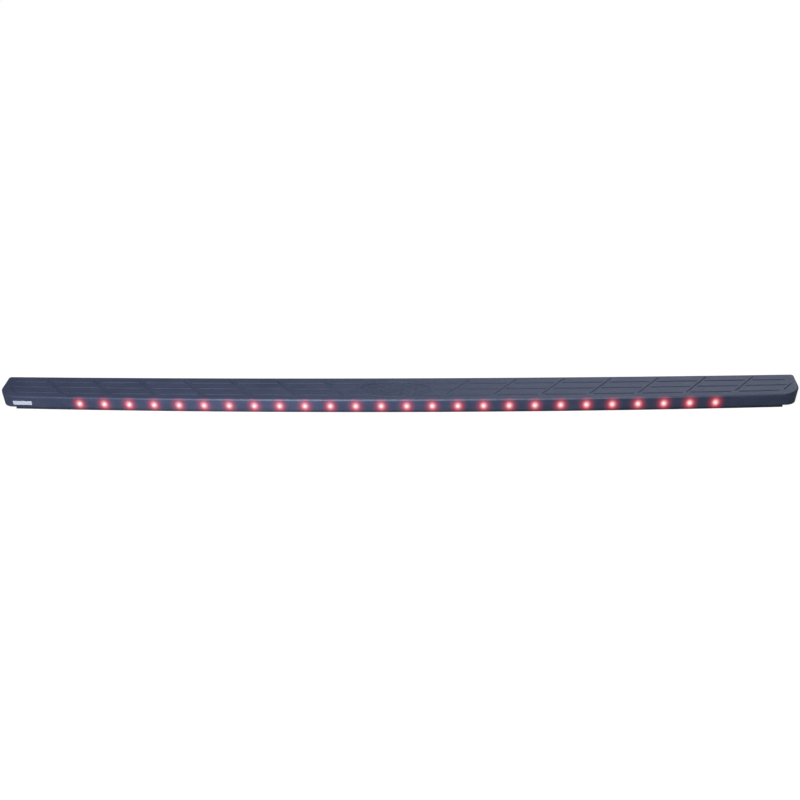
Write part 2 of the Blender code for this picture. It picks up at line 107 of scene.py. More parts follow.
# Tread in the cap's top. Shares count from 0 at the crease to 1 at the bed edge.
TREAD_DEPTH = 0.0012
TREAD_SIDE = 0.9  # how far a groove's side leans, for each unit of depth
SLOT_WIDTH = 0.0045
SLOT_ROWS = (0.21, 0.48, 0.74)
SLANT_WIDTH = 0.003
SLANT_FROM = 0.22
SLANT_TO = 0.93
SLANT_ANGLE = math.radians(35)
SLANT_FIRST = 0.115
SLANT_PITCH = 0.090
SLANT_COUNT = 8
SLOT_CLEAR = 0.0065
SLOT_END = 0.739
SLANT_END = 0.748
GROOVE_STEP = 0.012
OVAL_HALF_X = 0.070
OVAL_HALF_Y = 0.033
OVAL_RIM = 0.0035
OVAL_SINK = 0.0006
OVAL_CLEAR = 0.006
OVAL_STEPS = 96

# Lamp module and fixings. Depths count from the crease line towards the bed.
MODULE_END = 0.624
HOUSING_BACK = 0.018
HOUSING_WALL = 0.002
HOUSING_TOP = 0.021
HOUSING_FOOT = 0.0015
HOUSING_TOP_FRONT = 0.0079
HOUSING_FOOT_FRONT = 0.011
BOARD_FRONT = 0.0123
BOARD_THICK = 0.0016
BOARD_FOOT = 0.0042
BOARD_HEAD = 0.0184
BOARD_START = 0.002
BOARD_END = 0.618
GASKET_START = 0.001
GASKET_END = 0.620
LEDGE = 0.002
SEAL_HALF = 0.0007
EAR_STATIONS = (0.096, 0.240, 0.384, 0.528)
EAR_HALF = 0.006
EAR_BACK = 0.027
EAR_HOLE_RADIUS = 0.0021
SCREW_DEPTH = 0.0225
SCREW_SHANK = 0.0017
SCREW_ROOT = 0.0012
SCREW_POINT = 0.0014
SCREW_HEAD = 0.0032
SCREW_HEAD_HIGH = 0.0018
THREAD_PITCH = 0.0011
PLUG_THICK = 0.003
SPIGOT = (0.0088, 0.0157, 0.0075, 0.0165)
GLAND_DEPTH = 0.0115
GLAND_Z = 0.011
GLAND_BORE = 0.0023
GLAND_WAIST = 0.0032
GLAND_HOLE = 0.0036
GLAND_FLANGE = 0.0041
GLAND_NOSE = 0.009
LEAD_OFF_AXIS = 0.00127  # each lead of a light, from the light's axis
WIRE_RADIUS = 0.0006
WIRE_RED_Z = 0.0140
WIRE_BLACK_Z = 0.0085
WIRE_OFF_AXIS = 0.0008  # each wire, from the grommet's axis
JUMPER_POINTS = ((0.006, 0.0022), (0.0088, 0.0014), (0.009, 0))  # (X, stand-off from the board)
FEED_START = 0.016  # on the board, from the end plug's outer face
TAPE_WIDTH = 0.012
TAPE_THICK = 0.0012
TAPE_FROM = 0.012
TAPE_TO = 0.700
LINER_THICK = 0.00015
REAR_TAPE_DEPTH = 0.030
BED_TAPE_DEPTH = 0.021
BOSS_RADIUS = 0.00375
PILOT_RADIUS = 0.00205
PILOT_CHAMFER = 0.0004
BOSS_CHAMFER = 0.0003
BOSS_FOOT = ((0, 0.0026), (0.0004, 0.0016), (0.0011, 0))  # (out of the boss, down from the top)
GAP = 0.0003
RIB_STATIONS = (0.645, 0.675, 0.705)
RIB_HALF = 0.001
RIB_FOOT = 0.008
RIB_REACH = 0.020
TRIM_LEG_TOP = 0.0066
TRIM_THICK = 0.0015
TRIM_CLEAR = 0.0005
BADGE_X = -0.712
BADGE_Z = 0.0142

scene = bpy.context.scene
scene.view_settings.view_transform = "Standard"


# Lines and frames that the whole part follows


def bow_share(x):
    return 1 - (x / HALF_LENGTH) ** 2


def crease_y(x):
    return -REAR_EDGE - REAR_BOW * bow_share(x)


def bed_y(x):
    return BED_EDGE - BED_BOW * bow_share(x)


def across_y(x, share):
    return crease_y(x) + share * (bed_y(x) - crease_y(x))


def crease_turn(x):
    return math.atan(2 * REAR_BOW * x / HALF_LENGTH**2)


def wall_depth(z):
    return REAR_DRAFT * (TOP_Z - z) / (TOP_Z - WALL_FOOT)


def rear_frame(x, z):
    """Frame on the crease line: its Y looks into the part, square to the bow."""
    return Matrix.Translation((x, crease_y(x), z)) @ Matrix.Rotation(crease_turn(x), 4, "Z")


def light_stations():
    return [(n - (LIGHT_COUNT - 1) / 2) * PITCH for n in range(LIGHT_COUNT)]


def spread(start, end, step):
    """Evenly spaced values from start to end, no further apart than step."""
    count = max(1, math.ceil(abs(end - start) / step))
    return [start + (end - start) * n / count for n in range(count + 1)]


# Materials


def fill_ramp(node, stops):
    steps = node.color_ramp.elements
    while len(steps) < len(stops):
        steps.new(1.0)
    for step, (place, colour) in zip(steps, stops):
        step.position = place
        step.color = (*colour, 1.0)


class Paint:
    """A node material with a Principled shader and short calls to build its nodes."""

    def __init__(self, name):
        self.material = bpy.data.materials.new(name)
        self.material.use_nodes = True
        self.tree = self.material.node_tree
        self.shader = self.tree.nodes["Principled BSDF"]
        self.place = self.tree.nodes.new("ShaderNodeTexCoord").outputs["Object"]

    def set(self, **values):
        for name, value in values.items():
            self.shader.inputs[name.replace("_", " ")].default_value = value

    def join(self, value, socket):
        if isinstance(value, (int, float, tuple)):
            socket.default_value = value
        else:
            self.tree.links.new(value, socket)

    def math(self, operation, *values):
        node = self.tree.nodes.new("ShaderNodeMath")
        node.operation = operation
        for value, socket in zip(values, node.inputs):
            self.join(value, socket)
        return node.outputs[0]

    def node(self, kind, **values):
        node = self.tree.nodes.new("ShaderNode" + kind)
        for name, value in values.items():
            self.join(value, node.inputs[name.replace("_", " ")])
        return node

    def axes(self):
        """The object's own X, Y and Z."""
        return self.node("SeparateXYZ", Vector=self.place).outputs

    def stretched(self, scale):
        return self.node("Mapping", Vector=self.place, Scale=scale).outputs[0]

    def noise(self, scale, detail=3.0, roughness=0.5, place=None):
        values = {"Vector": place or self.place, "Scale": scale, "Detail": detail, "Roughness": roughness}
        return self.node("TexNoise", **values).outputs[0]

    def cells(self, scale):
        return self.node("TexVoronoi", Vector=self.place, Scale=scale).outputs["Distance"]

    def fit(self, value, low, high, start=0.0, end=1.0):
        """The value's stretch from start to end becomes low to high, and stays there outside it."""
        ends = {"From_Min": start, "From_Max": end, "To_Min": low, "To_Max": high}
        return self.node("MapRange", Value=value, **ends).outputs[0]

    def ramp(self, value, stops):
        node = self.node("ValToRGB", Fac=value)
        fill_ramp(node, stops)
        return node.outputs["Color"]

    def blend(self, share, first, second):
        node = self.tree.nodes.new("ShaderNodeMix")
        node.data_type = "RGBA"
        self.join(share, node.inputs["Factor"])
        for value, socket in ((first, node.inputs[6]), (second, node.inputs[7])):
            self.join((*value, 1.0) if isinstance(value, tuple) else value, socket)
        return node.outputs[2]

    def colour(self, value):
        self.join(value, self.shader.inputs["Base Color"])

    def rough(self, value):
        self.join(value, self.shader.inputs["Roughness"])

    def bump(self, *layers):
        """Each layer is (height, distance in metres)."""
        normal = None
        for height, distance in layers:
            node = self.node("Bump", Distance=distance, Height=height)
            if normal:
                self.join(normal, node.inputs["Normal"])
            normal = node.outputs[0]
        self.join(normal, self.shader.inputs["Normal"])

    def glow(self, value, strength=1.0):
        self.join(value, self.shader.inputs["Emission Color"])
        self.shader.inputs["Emission Strength"].default_value = strength


# How the painted red glow round the lights falls off on the plastic: emission standing in for the light they
# cast. (distance, colour)
PAINTED_SPILL_REACH = 0.021
PAINTED_SPILL = [
    (0.0040, (0.86, 0.29, 0.31)),
    (0.0057, (0.70, 0.18, 0.19)),
    (0.0076, (0.44, 0.060, 0.064)),
    (0.0095, (0.270, 0.012, 0.014)),
    (0.0114, (0.172, 0.004, 0.006)),
    (0.0133, (0.100, 0.001, 0.003)),
    (0.0152, (0.048, 0.0, 0.001)),
    (0.0171, (0.020, 0.0, 0.0)),
    (PAINTED_SPILL_REACH, (0.0, 0.0, 0.0)),
]
PAINTED_SPILL_STRETCH = (1.0, 2.0, 0.8)


def bow_at(paint, x):
    """How far further in than its middle the crease stands at X."""
    return paint.math("MULTIPLY", paint.math("POWER", paint.math("DIVIDE", x, HALF_LENGTH), 2.0), REAR_BOW)


def add_painted_spill(paint):
    """Painted red glow: emission on the plastic by the distance to the nearest of the lights, standing in
    for the light they cast.
    """
    x, y, z = paint.axes()
    number = paint.math("FLOOR", paint.math("DIVIDE", x, PITCH))
    last = LIGHT_COUNT / 2
    number = paint.math("MINIMUM", paint.math("MAXIMUM", number, -last), last - 1)
    light_x = paint.math("MULTIPLY", paint.math("ADD", number, 0.5), PITCH)
    slope = paint.math("MULTIPLY", paint.math("SUBTRACT", TOP_Z, z), REAR_DRAFT / (TOP_Z - WALL_FOOT))
    light_y = paint.math("ADD", paint.math("ADD", bow_at(paint, light_x), slope), crease_y(0))
    total = 0.0
    for value, middle, stretch in zip((x, y, z), (light_x, light_y, LIGHT_Z), PAINTED_SPILL_STRETCH):
        offset = paint.math("MULTIPLY", paint.math("SUBTRACT", value, middle), stretch)
        total = paint.math("ADD", paint.math("POWER", offset, 2.0), total)
    share = paint.math("DIVIDE", paint.math("SQRT", total), PAINTED_SPILL_REACH)
    paint.glow(paint.ramp(share, [(place / PAINTED_SPILL_REACH, colour) for place, colour in PAINTED_SPILL]))


# Where along X the highlight painted on the crease is strongest, and how far from there it fades.
HIGHLIGHT_MIDDLE = 0.12
HIGHLIGHT_FADE = (0.30, 0.62)  # either way from there


def crease_highlight_mask(paint):
    """Mask of the highlight painted on the crease: 1 on the rounded crease over the lights, fading out off
    it and towards the cap's ends.
    """
    x, y, z = paint.axes()
    depth = paint.math("SUBTRACT", y, paint.math("ADD", bow_at(paint, x), crease_y(0)))
    near = paint.fit(depth, 1, 0, CREASE_RADIUS * 0.8, CREASE_RADIUS * 1.4)
    high = paint.fit(z, 0, 1, TOP_Z - CREASE_RADIUS, TOP_Z - CREASE_RADIUS * 0.5)
    middle = paint.fit(paint.math("ABSOLUTE", paint.math("SUBTRACT", x, HIGHLIGHT_MIDDLE)), 1, 0, *HIGHLIGHT_FADE)
    return paint.math("MULTIPLY", paint.math("MULTIPLY", near, high), middle)


def moulded_black():
    """Blue-black satin plastic: fine moulded grain, faint flow lines along the cap, a highlight painted in a
    lighter colour along the crease, and the lights' red glow painted on as emission.
    """
    paint = Paint("moulded_black")
    paint.set(Specular_IOR_Level=0.22)
    cloud = paint.noise(26, 5, 0.6)
    flow = paint.noise(3, 4, 0.6, paint.stretched((2, 140, 140)))
    grain = paint.cells(1500)
    fine = paint.noise(2600, 2)
    dark, light = (0.0195, 0.0245, 0.0435), (0.0270, 0.0325, 0.0555)
    base = paint.blend(paint.fit(cloud, 0, 1, 0.35, 0.68), dark, light)
    base = paint.blend(paint.fit(flow, 0, 0.45, 0.45, 0.75), base, (0.036, 0.043, 0.068))
    # A lighter colour painted along the crease as a highlight, broken up by noise.
    painted_highlight = crease_highlight_mask(paint)
    painted_highlight = paint.math("MULTIPLY", painted_highlight, paint.fit(paint.noise(110, 5, 0.65), 0.22, 0.55, 0.35, 0.62))
    paint.colour(paint.blend(painted_highlight, base, (0.092, 0.100, 0.126)))
    spots = paint.fit(paint.noise(900, 3), -0.05, 0.05, 0.3, 0.7)
    paint.rough(paint.math("ADD", paint.fit(cloud, 0.43, 0.53, 0.3, 0.7), spots))
    paint.bump((grain, 0.00016), (fine, 0.00004), (flow, 0.00005))
    # Painted red glow of the lights on the cap's plastic, as emission.
    add_painted_spill(paint)
    return paint.material


def rubber():
    paint = Paint("black_rubber")
    paint.set(Specular_IOR_Level=0.35)
    cloud = paint.noise(60, 4)
    base = paint.blend(paint.fit(cloud, 0, 1, 0.3, 0.7), (0.0045, 0.0065, 0.011), (0.0080, 0.0110, 0.018))
    paint.colour(base)
    paint.rough(paint.fit(cloud, 0.6, 0.75, 0.3, 0.7))
    paint.bump((paint.noise(1800, 3), 0.00008))
    # Painted red glow of the lights on the rubber, as emission.
    add_painted_spill(paint)
    return paint.material


LENS_STOPS = [
    (0.0, (0.88, 0.74, 0.68)),
    (0.65, (0.88, 0.70, 0.65)),
    (0.88, (0.87, 0.58, 0.57)),
    (1.0, (0.84, 0.42, 0.43)),
]


def lit_lens():
    """Red lens over a lit chip: nearly white on the axis, rose towards the rim."""
    paint = Paint("red_lens_lit")
    paint.set(Roughness=0.12, Specular_IOR_Level=0.4, Coat_Weight=0.35, Coat_Roughness=0.08)
    x, y, _ = paint.axes()
    squared = paint.math("ADD", paint.math("POWER", x, 2.0), paint.math("POWER", y, 2.0))
    share = paint.math("DIVIDE", paint.math("SQRT", squared), LENS_RADIUS)
    mottle = paint.noise(700, 2)
    uneven = paint.math("ADD", share, paint.fit(mottle, -0.08, 0.08, 0.3, 0.7))
    paint.glow(paint.ramp(uneven, LENS_STOPS))
    paint.colour(paint.blend(share, (0.55, 0.10, 0.11), (0.35, 0.01, 0.02)))
    paint.bump((mottle, 0.00005))
    return paint.material


def red_plastic():
    paint = Paint("red_lens")
    paint.set(Roughness=0.25, Transmission_Weight=0.25, IOR=1.49)
    cloud = paint.noise(400, 3)
    paint.colour(paint.blend(cloud, (0.32, 0.008, 0.014), (0.50, 0.015, 0.022)))
    paint.bump((cloud, 0.00003))
    return paint.material


def plain(name, dark, light, roughness, scale=300, depth=0.00005, **values):
    """A material of two close shades with a fine grain."""
    paint = Paint(name)
    paint.set(**values)
    cloud = paint.noise(scale, 4, 0.6)
    paint.colour(paint.blend(paint.fit(cloud, 0, 1, 0.3, 0.7), dark, light))
    paint.rough(paint.fit(cloud, roughness - 0.06, roughness + 0.06, 0.3, 0.7))
    paint.bump((paint.noise(scale * 5, 3), depth))
    return paint.material


TRACK_PITCH = 0.0021


def board_green():
    """Green solder mask with paler tracks along the board."""
    paint = Paint("board_green")
    paint.set(Specular_IOR_Level=0.5, Coat_Weight=0.3, Coat_Roughness=0.2)
    rows = paint.math("FRACT", paint.math("DIVIDE", paint.axes()[2], TRACK_PITCH))
    broken = paint.noise(60, 1, 0.5, paint.stretched((0.6, 1, 8)))
    track = paint.math("MULTIPLY", paint.fit(rows, 0, 1, 0.60, 0.66), paint.fit(broken, 0, 1, 0.46, 0.48))
    cloud = paint.noise(240, 4)
    base = paint.blend(cloud, (0.008, 0.075, 0.030), (0.012, 0.105, 0.042))
    paint.colour(paint.blend(track, base, (0.035, 0.190, 0.080)))
    paint.rough(paint.fit(cloud, 0.28, 0.42, 0.3, 0.7))
    paint.bump((track, 0.00004), (cloud, 0.00002))
    return paint.material


# Shape helpers


def link(name, data):
    item = bpy.data.objects.new(name, data)
    scene.collection.objects.link(item)
    return item


def mesh_from(name, shape):
    mesh = bpy.data.meshes.new(name)
    shape.to_mesh(mesh)
    shape.free()
    return mesh


def to_piece(name, shape, materials, replaced):
    """A finished piece from a bmesh: it rides on the body and stands for its CAD nodes."""
    piece = helper(name, shape)
    for item in materials:
        piece.data.materials.append(item)
    declare(piece, replaced)
    return piece


def declare(piece, replaced):
    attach(piece, "root")
    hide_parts(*replaced)


def helper(name, shape):
    bmesh.ops.recalc_face_normals(shape, faces=shape.faces)
    return link(name, mesh_from(name, shape))


def bake_modifiers(piece):
    graph = bpy.context.evaluated_depsgraph_get()
    mesh = bpy.data.meshes.new_from_object(piece.evaluated_get(graph))
    piece.modifiers.clear()
    old = piece.data
    piece.data = mesh
    bpy.data.meshes.remove(old)


def combine(piece, shape, operation):
    """Join or cut the piece with a bmesh, through a helper object that is then gone."""
    other = helper("other", shape)
    modifier = piece.modifiers.new("combine", "BOOLEAN")
    modifier.operation = operation
    modifier.object = other
    bake_modifiers(piece)
    bpy.data.objects.remove(other)


def smooth(piece, angle=32):
    """Smooth shading, with a sharp line at every corner and round every face that lies flat."""
    mesh = piece.data
    shape = bmesh.new()
    shape.from_mesh(mesh)
    for face in shape.faces:
        face.smooth = True
    limit = math.radians(angle)
    for edge in shape.edges:
        level = [abs(face.normal.z) > 0.9999 for face in edge.link_faces]
        edge.smooth = edge.calc_face_angle(0) < limit and len(set(level)) < 2
    shape.to_mesh(mesh)
    shape.free()


def loft(shape, rings, closed=True):
    """Faces between rings of points; each ring is a closed loop if closed."""
    made = [[shape.verts.new(point) for point in ring] for ring in rings]
    for near, far in zip(made, made[1:]):
        count = len(near)
        for n in range(count if closed else count - 1):
            m = (n + 1) % count
            shape.faces.new((near[n], near[m], far[m], far[n]))
    return made


def solid(shape, rings):
    """A loft with both ends filled."""
    made = loft(shape, rings)
    shape.faces.new(made[0])
    shape.faces.new(made[-1])


def around(count):
    """Angles all the way round."""
    return [2 * math.pi * n / count for n in range(count)]


def ellipse(half_x, half_y, count):
    return [(half_x * math.cos(a), half_y * math.sin(a)) for a in around(count)]


def revolve(shape, profile, matrix, steps=LIGHT_STEPS, finish=0):
    """Turn a (radius, height) profile round the frame's Z; a radius of 0 closes it at a point."""
    rows = []
    for radius, height in profile:
        points = ellipse(radius, radius, steps)[: 1 if radius == 0 else steps]
        rows.append([shape.verts.new(matrix @ Vector((*point, height))) for point in points])
    for near, far in zip(rows, rows[1:]):
        for n in range(steps):
            m = (n + 1) % steps
            corners = [near[n % len(near)], near[m % len(near)], far[m % len(far)], far[n % len(far)]]
            face = shape.faces.new(dict.fromkeys(corners))
            face.material_index = finish


def add_box(shape, size, matrix):
    return bmesh.ops.create_cube(shape, size=1, matrix=matrix @ Matrix.Diagonal((*size, 1)))["verts"]


# The cap


def plan_outline(share, inset):
    """Points round the plan, counter-clockwise from the rear middle, with each station's wall foot height.

    The share runs from 0 at the top edge to 1 at the walls' foot; the inset is square to the walls."""
    end_x = HALF_LENGTH - END_DRAFT * share - inset
    radius = REAR_CORNER + (REAR_CORNER_FOOT - REAR_CORNER) * share - inset
    rear_in = REAR_DRAFT * share + inset
    middle_x = end_x - radius
    turn = crease_turn(middle_x)
    middle_y = crease_y(middle_x + radius * math.sin(turn)) + rear_in + radius * math.cos(turn)
    arc_start = middle_x + radius * math.sin(turn)
    right = []
    for n in range(ALONG_STEPS):
        x = arc_start * n / ALONG_STEPS
        right.append((x, crease_y(x) + rear_in, WALL_FOOT))
    for n in range(CORNER_STEPS + 1):
        angle = turn + (math.pi / 2 - turn) * n / CORNER_STEPS
        right.append((middle_x + radius * math.sin(angle), middle_y - radius * math.cos(angle), WALL_FOOT))
    bed_radius = BED_CORNER - inset
    bed_x = end_x - END_TAPER - bed_radius
    bed_corner_y = bed_y(bed_x) - inset - bed_radius
    for n in range(1, END_STEPS):
        along = n / END_STEPS
        y = middle_y + (bed_corner_y - middle_y) * along
        right.append((end_x - END_TAPER * along, y, WALL_FOOT * (1 - along)))
    for n in range(BED_CORNER_STEPS + 1):
        angle = math.pi / 2 * n / BED_CORNER_STEPS
        x = bed_x + bed_radius * math.cos(angle)
        right.append((x, bed_corner_y + bed_radius * math.sin(angle), 0.0))
    for n in reversed(range(ALONG_STEPS)):
        x = bed_x * n / ALONG_STEPS
        right.append((x, bed_y(x) - inset, 0.0))
    return right + [(-x, y, foot) for x, y, foot in reversed(right[1:-1])]


def fillet(corner, along_a, along_b, radius, steps):
    """Points of a round between two directions that leave a corner."""
    half = along_a.angle(along_b) / 2
    reach = radius / math.tan(half)
    centre = corner + (along_a + along_b).normalized() * (radius / math.sin(half))
    first = (corner + along_a * reach - centre).normalized()
    last = (corner + along_b * reach - centre).normalized()
    return [centre + first.slerp(last, n / steps) * radius for n in range(steps + 1)]


def cap_sections():
    """One closed-off section for each station: top, crease, wall, foot, and back up the inside."""
    top_line = plan_outline(0, 0)
    foot_line = plan_outline(1, 0)
    inner_top_line = plan_outline(0, SKIN)
    inner_foot_line = plan_outline(1, SKIN)
    count = len(top_line)
    for n in range(count):
        (ax, ay, _), (bx, by, _) = top_line[n - 1], top_line[(n + 1) % count]
        inward = Vector((ay - by, bx - ax, 0)).normalized()
        x, y, foot_z = top_line[n]
        top = Vector((x, y, TOP_Z))
        foot = Vector((*foot_line[n][:2], foot_z))
        inner_foot = Vector((*inner_foot_line[n][:2], foot_z))
        inner_top = Vector((*inner_top_line[n][:2], TOP_Z))
        down = (foot - top).normalized()
        inner_top += down * (SKIN / -down.z)
        radius = BED_EDGE_RADIUS + (CREASE_RADIUS - BED_EDGE_RADIUS) * foot_z / WALL_FOOT
        outside = fillet(top, inward, down, radius, CREASE_STEPS)
        inside = fillet(inner_top, inward, down, INNER_RADIUS, 3)
        walls = [outside[-1].lerp(foot, share) for share in (0.3, 0.65)]
        edge = [foot - down * FOOT_CHAMFER, foot + inward * FOOT_CHAMFER]
        edge += [inner_foot - inward * FOOT_CHAMFER, inner_foot - down * FOOT_CHAMFER]
        inner_walls = [inner_foot.lerp(inside[-1], share) for share in (0.35, 0.7)]
        yield [*outside, *walls, *edge, *inner_walls, *reversed(inside)]


def cap_skin():
    shape = bmesh.new()
    stations = list(cap_sections())
    rings = [list(ring) for ring in zip(*stations)]
    solid(shape, rings)
    return shape


def trough(shape, path, width):
    """A groove cutter along a path of (x, y) points: leaning sides, a rounded floor and rounded ends."""
    half = width / 2
    points = [Vector(point) for point in path]
    lengths = [0.0]
    for near, far in zip(points, points[1:]):
        lengths.append(lengths[-1] + (far - near).length)
    total = lengths[-1]
    tip = [half * (1 - math.cos(math.pi / 2 * n / 4)) for n in range(4)]
    stops = tip + spread(half, total - half, GROOVE_STEP) + [total - stop for stop in reversed(tip)]
    rings = []
    for stop in stops:
        n = next((k for k in range(1, len(lengths)) if lengths[k] >= stop), len(lengths) - 1)
        start, end = points[n - 1], points[n]
        along = (end - start).normalized()
        place = start + along * (stop - lengths[n - 1])
        side = Vector((-along.y, along.x))
        near_end = min(stop, total - stop, half)
        size = max(0.06, math.sqrt(1 - (1 - near_end / half) ** 2))
        reach, depth = half * size, TREAD_DEPTH * size
        floor = max(reach - depth * TREAD_SIDE, 0.1 * reach)
        section = [(-reach - TREAD_DEPTH * TREAD_SIDE, TREAD_DEPTH), (-floor - 0.12 * depth, -0.88 * depth)]
        section += [(-floor * 0.7, -depth), (floor * 0.7, -depth)]
        section += [(floor + 0.12 * depth, -0.88 * depth), (reach + TREAD_DEPTH * TREAD_SIDE, TREAD_DEPTH)]
        rings.append([(*(place + side * across), TOP_Z + height) for across, height in section])
    solid(shape, rings)


def slant_x(number, y):
    middle = SLANT_FIRST + SLANT_PITCH * number
    return middle + (y - across_y(middle, 0.5)) * math.tan(SLANT_ANGLE)


def slot_ends(share):
    """Pairs of X where each slot of a row starts and stops: between the oval, the slants and the end."""
    y = across_y(OVAL_HALF_X, share)
    off_middle = min(1, abs(y - across_y(0, 0.5)) / OVAL_HALF_Y)
    start = OVAL_HALF_X * math.sqrt(1 - off_middle**2) + OVAL_CLEAR
    for number in range(SLANT_COUNT):
        cross = slant_x(number, across_y(SLANT_FIRST + SLANT_PITCH * number, share))
        yield start, min(cross - SLOT_CLEAR, SLOT_END)
        start = cross + SLOT_CLEAR
    yield start, SLOT_END


def tread(shape):
    for side in (-1, 1):
        for share in SLOT_ROWS:
            for start, end in slot_ends(share):
                if end - start > 2 * SLOT_WIDTH:
                    path = [(side * x, across_y(x, share)) for x in spread(start, end, GROOVE_STEP)]
                    trough(shape, path, SLOT_WIDTH)
        for number in range(SLANT_COUNT):
            x = SLANT_FIRST + SLANT_PITCH * number
            low, high = across_y(x, SLANT_FROM), across_y(x, SLANT_TO)
            high -= max(0, slant_x(number, high) - SLANT_END) / math.tan(SLANT_ANGLE)
            path = [(side * slant_x(number, low), low), (side * slant_x(number, high), high)]
            trough(shape, path, SLANT_WIDTH)


def oval_ring(grow, height):
    middle = across_y(0, 0.5)
    return [(x, middle + y, height) for x, y in ellipse(OVAL_HALF_X + grow, OVAL_HALF_Y + grow, OVAL_STEPS)]


def oval_rim(shape):
    """A raised round bead: a closed band with its foot inside the skin."""
    rings = [oval_ring(0, TOP_Z - SKIN / 2)]
    for n in range(7):
        angle = math.pi * n / 6
        across = -OVAL_RIM / 2 * (1 - math.cos(angle))
        rings.append(oval_ring(across, TOP_Z + OVAL_RISE * math.sin(angle)))
    rings.append(oval_ring(-OVAL_RIM, TOP_Z - SKIN / 2))
    made = loft(shape, rings)
    first, last = made[0], made[-1]
    for n in range(OVAL_STEPS):
        m = (n + 1) % OVAL_STEPS
        shape.faces.new((first[n], first[m], last[m], last[n]))


def oval_field(shape):
    rings = [oval_ring(-OVAL_RIM - OVAL_SINK / 2, TOP_Z - OVAL_SINK), oval_ring(-OVAL_RIM, TOP_Z)]
    rings.append(oval_ring(-OVAL_RIM + OVAL_SINK / 2, TOP_Z + OVAL_SINK))
    solid(shape, rings)


LOZENGE = (0.011, 0.0030, 0.0007)  # length, width and height
LOZENGE_PITCH = (0.0130, 0.0088)


def lozenges(shape):
    """Raised tread marks in the oval's sunk field, leaning to and fro in turn."""
    middle = across_y(0, 0.5)
    length, width, height = LOZENGE
    foot = TOP_Z - OVAL_SINK - SKIN / 4
    crown = TOP_Z - OVAL_SINK + height
    for row in range(-3, 4):
        for column in range(-5, 6):
            x, y = column * LOZENGE_PITCH[0], row * LOZENGE_PITCH[1]
            reach_x = OVAL_HALF_X - OVAL_RIM - length * 0.62
            reach_y = OVAL_HALF_Y - OVAL_RIM - length * 0.5
            if (x / reach_x) ** 2 + (y / reach_y) ** 2 > 1:
                continue
            lean = math.radians(28 if (row + column) % 2 else -28)
            place = Matrix.Translation((x, middle + y, 0)) @ Matrix.Rotation(lean, 4, "Z")
            rings = []
            for shrink, z in ((1.12, foot), (1.08, crown - height), (0.86, crown - 0.0002), (0.6, crown)):
                points = ellipse(length / 2 * shrink, width / 2 * shrink, 16)
                rings.append([place @ Vector((*point, z)) for point in points])
            solid(shape, rings)


def ear_stations():
    return [side * x for side in (-1, 1) for x in EAR_STATIONS]


def screw_place(x):
    return rear_frame(x, 0) @ Matrix.Translation((0, SCREW_DEPTH, 0))


def bosses(shape):
    """Screw bosses under the top, with a rounded foot and a chamfered rim."""
    roof = TOP_Z - SKIN / 2
    low = HOUSING_TOP + GAP
    profile = [(0, low), (BOSS_RADIUS - BOSS_CHAMFER, low), (BOSS_RADIUS, low + BOSS_CHAMFER)]
    profile += [(BOSS_RADIUS + out, roof - down) for out, down in BOSS_FOOT] + [(0, roof)]
    for x in ear_stations():
        revolve(shape, profile, screw_place(x))


def pilots(shape):
    mouth = HOUSING_TOP + GAP
    wide = PILOT_RADIUS + PILOT_CHAMFER
    blind = TOP_Z - SKIN - GAP
    profile = [(0, HOUSING_WALL), (wide, HOUSING_WALL), (wide, mouth)]
    profile += [(PILOT_RADIUS, mouth + PILOT_CHAMFER), (PILOT_RADIUS, blind), (0, blind)]
    for x in ear_stations():
        revolve(shape, profile, screw_place(x), 24)


def end_ribs(shape):
    inside_skin = TOP_Z - SKIN / 2
    inner_wall = wall_depth(RIB_FOOT) + SKIN / 2
    hollow = (RIB_REACH * 0.55, (RIB_FOOT + inside_skin) / 2 + 0.002)
    profile = [(inner_wall, RIB_FOOT), (inner_wall + 0.0022, RIB_FOOT), hollow]
    profile += [(RIB_REACH, inside_skin - 0.0022), (RIB_REACH, inside_skin), (SKIN, inside_skin)]
    for x in RIB_STATIONS:
        for side in (-1, 1):
            sweep(shape, profile, (side * x - RIB_HALF, side * x + RIB_HALF))


def light_holes(shape):
    """Holes for the lenses, with a small round on the outer rim."""
    face = wall_depth(LIGHT_Z)
    outer, inner = face - 0.004, face + 0.012
    rim = 0.0004
    wide = LENS_HOLE + rim
    profile = [(0, -outer), (wide + 0.004, -outer), (wide, -face), (LENS_HOLE, -face - rim)]
    profile += [(LENS_HOLE, -inner), (0, -inner)]
    for x in light_stations():
        revolve(shape, profile, facing_out(x, LIGHT_Z, 0))


def make_cap(finish):
    cap = to_piece("cap_shell", cap_skin(), [finish], ["top_cap"])
    added = bmesh.new()
    oval_rim(added)
    bosses(added)
    end_ribs(added)
    combine(cap, added, "UNION")
    cut = bmesh.new()
    oval_field(cut)
    pilots(cut)
    tread(cut)
    light_holes(cut)
    combine(cap, cut, "DIFFERENCE")
    marks = bmesh.new()
    lozenges(marks)
    combine(cap, marks, "UNION")
    smooth(cap)


# The lights


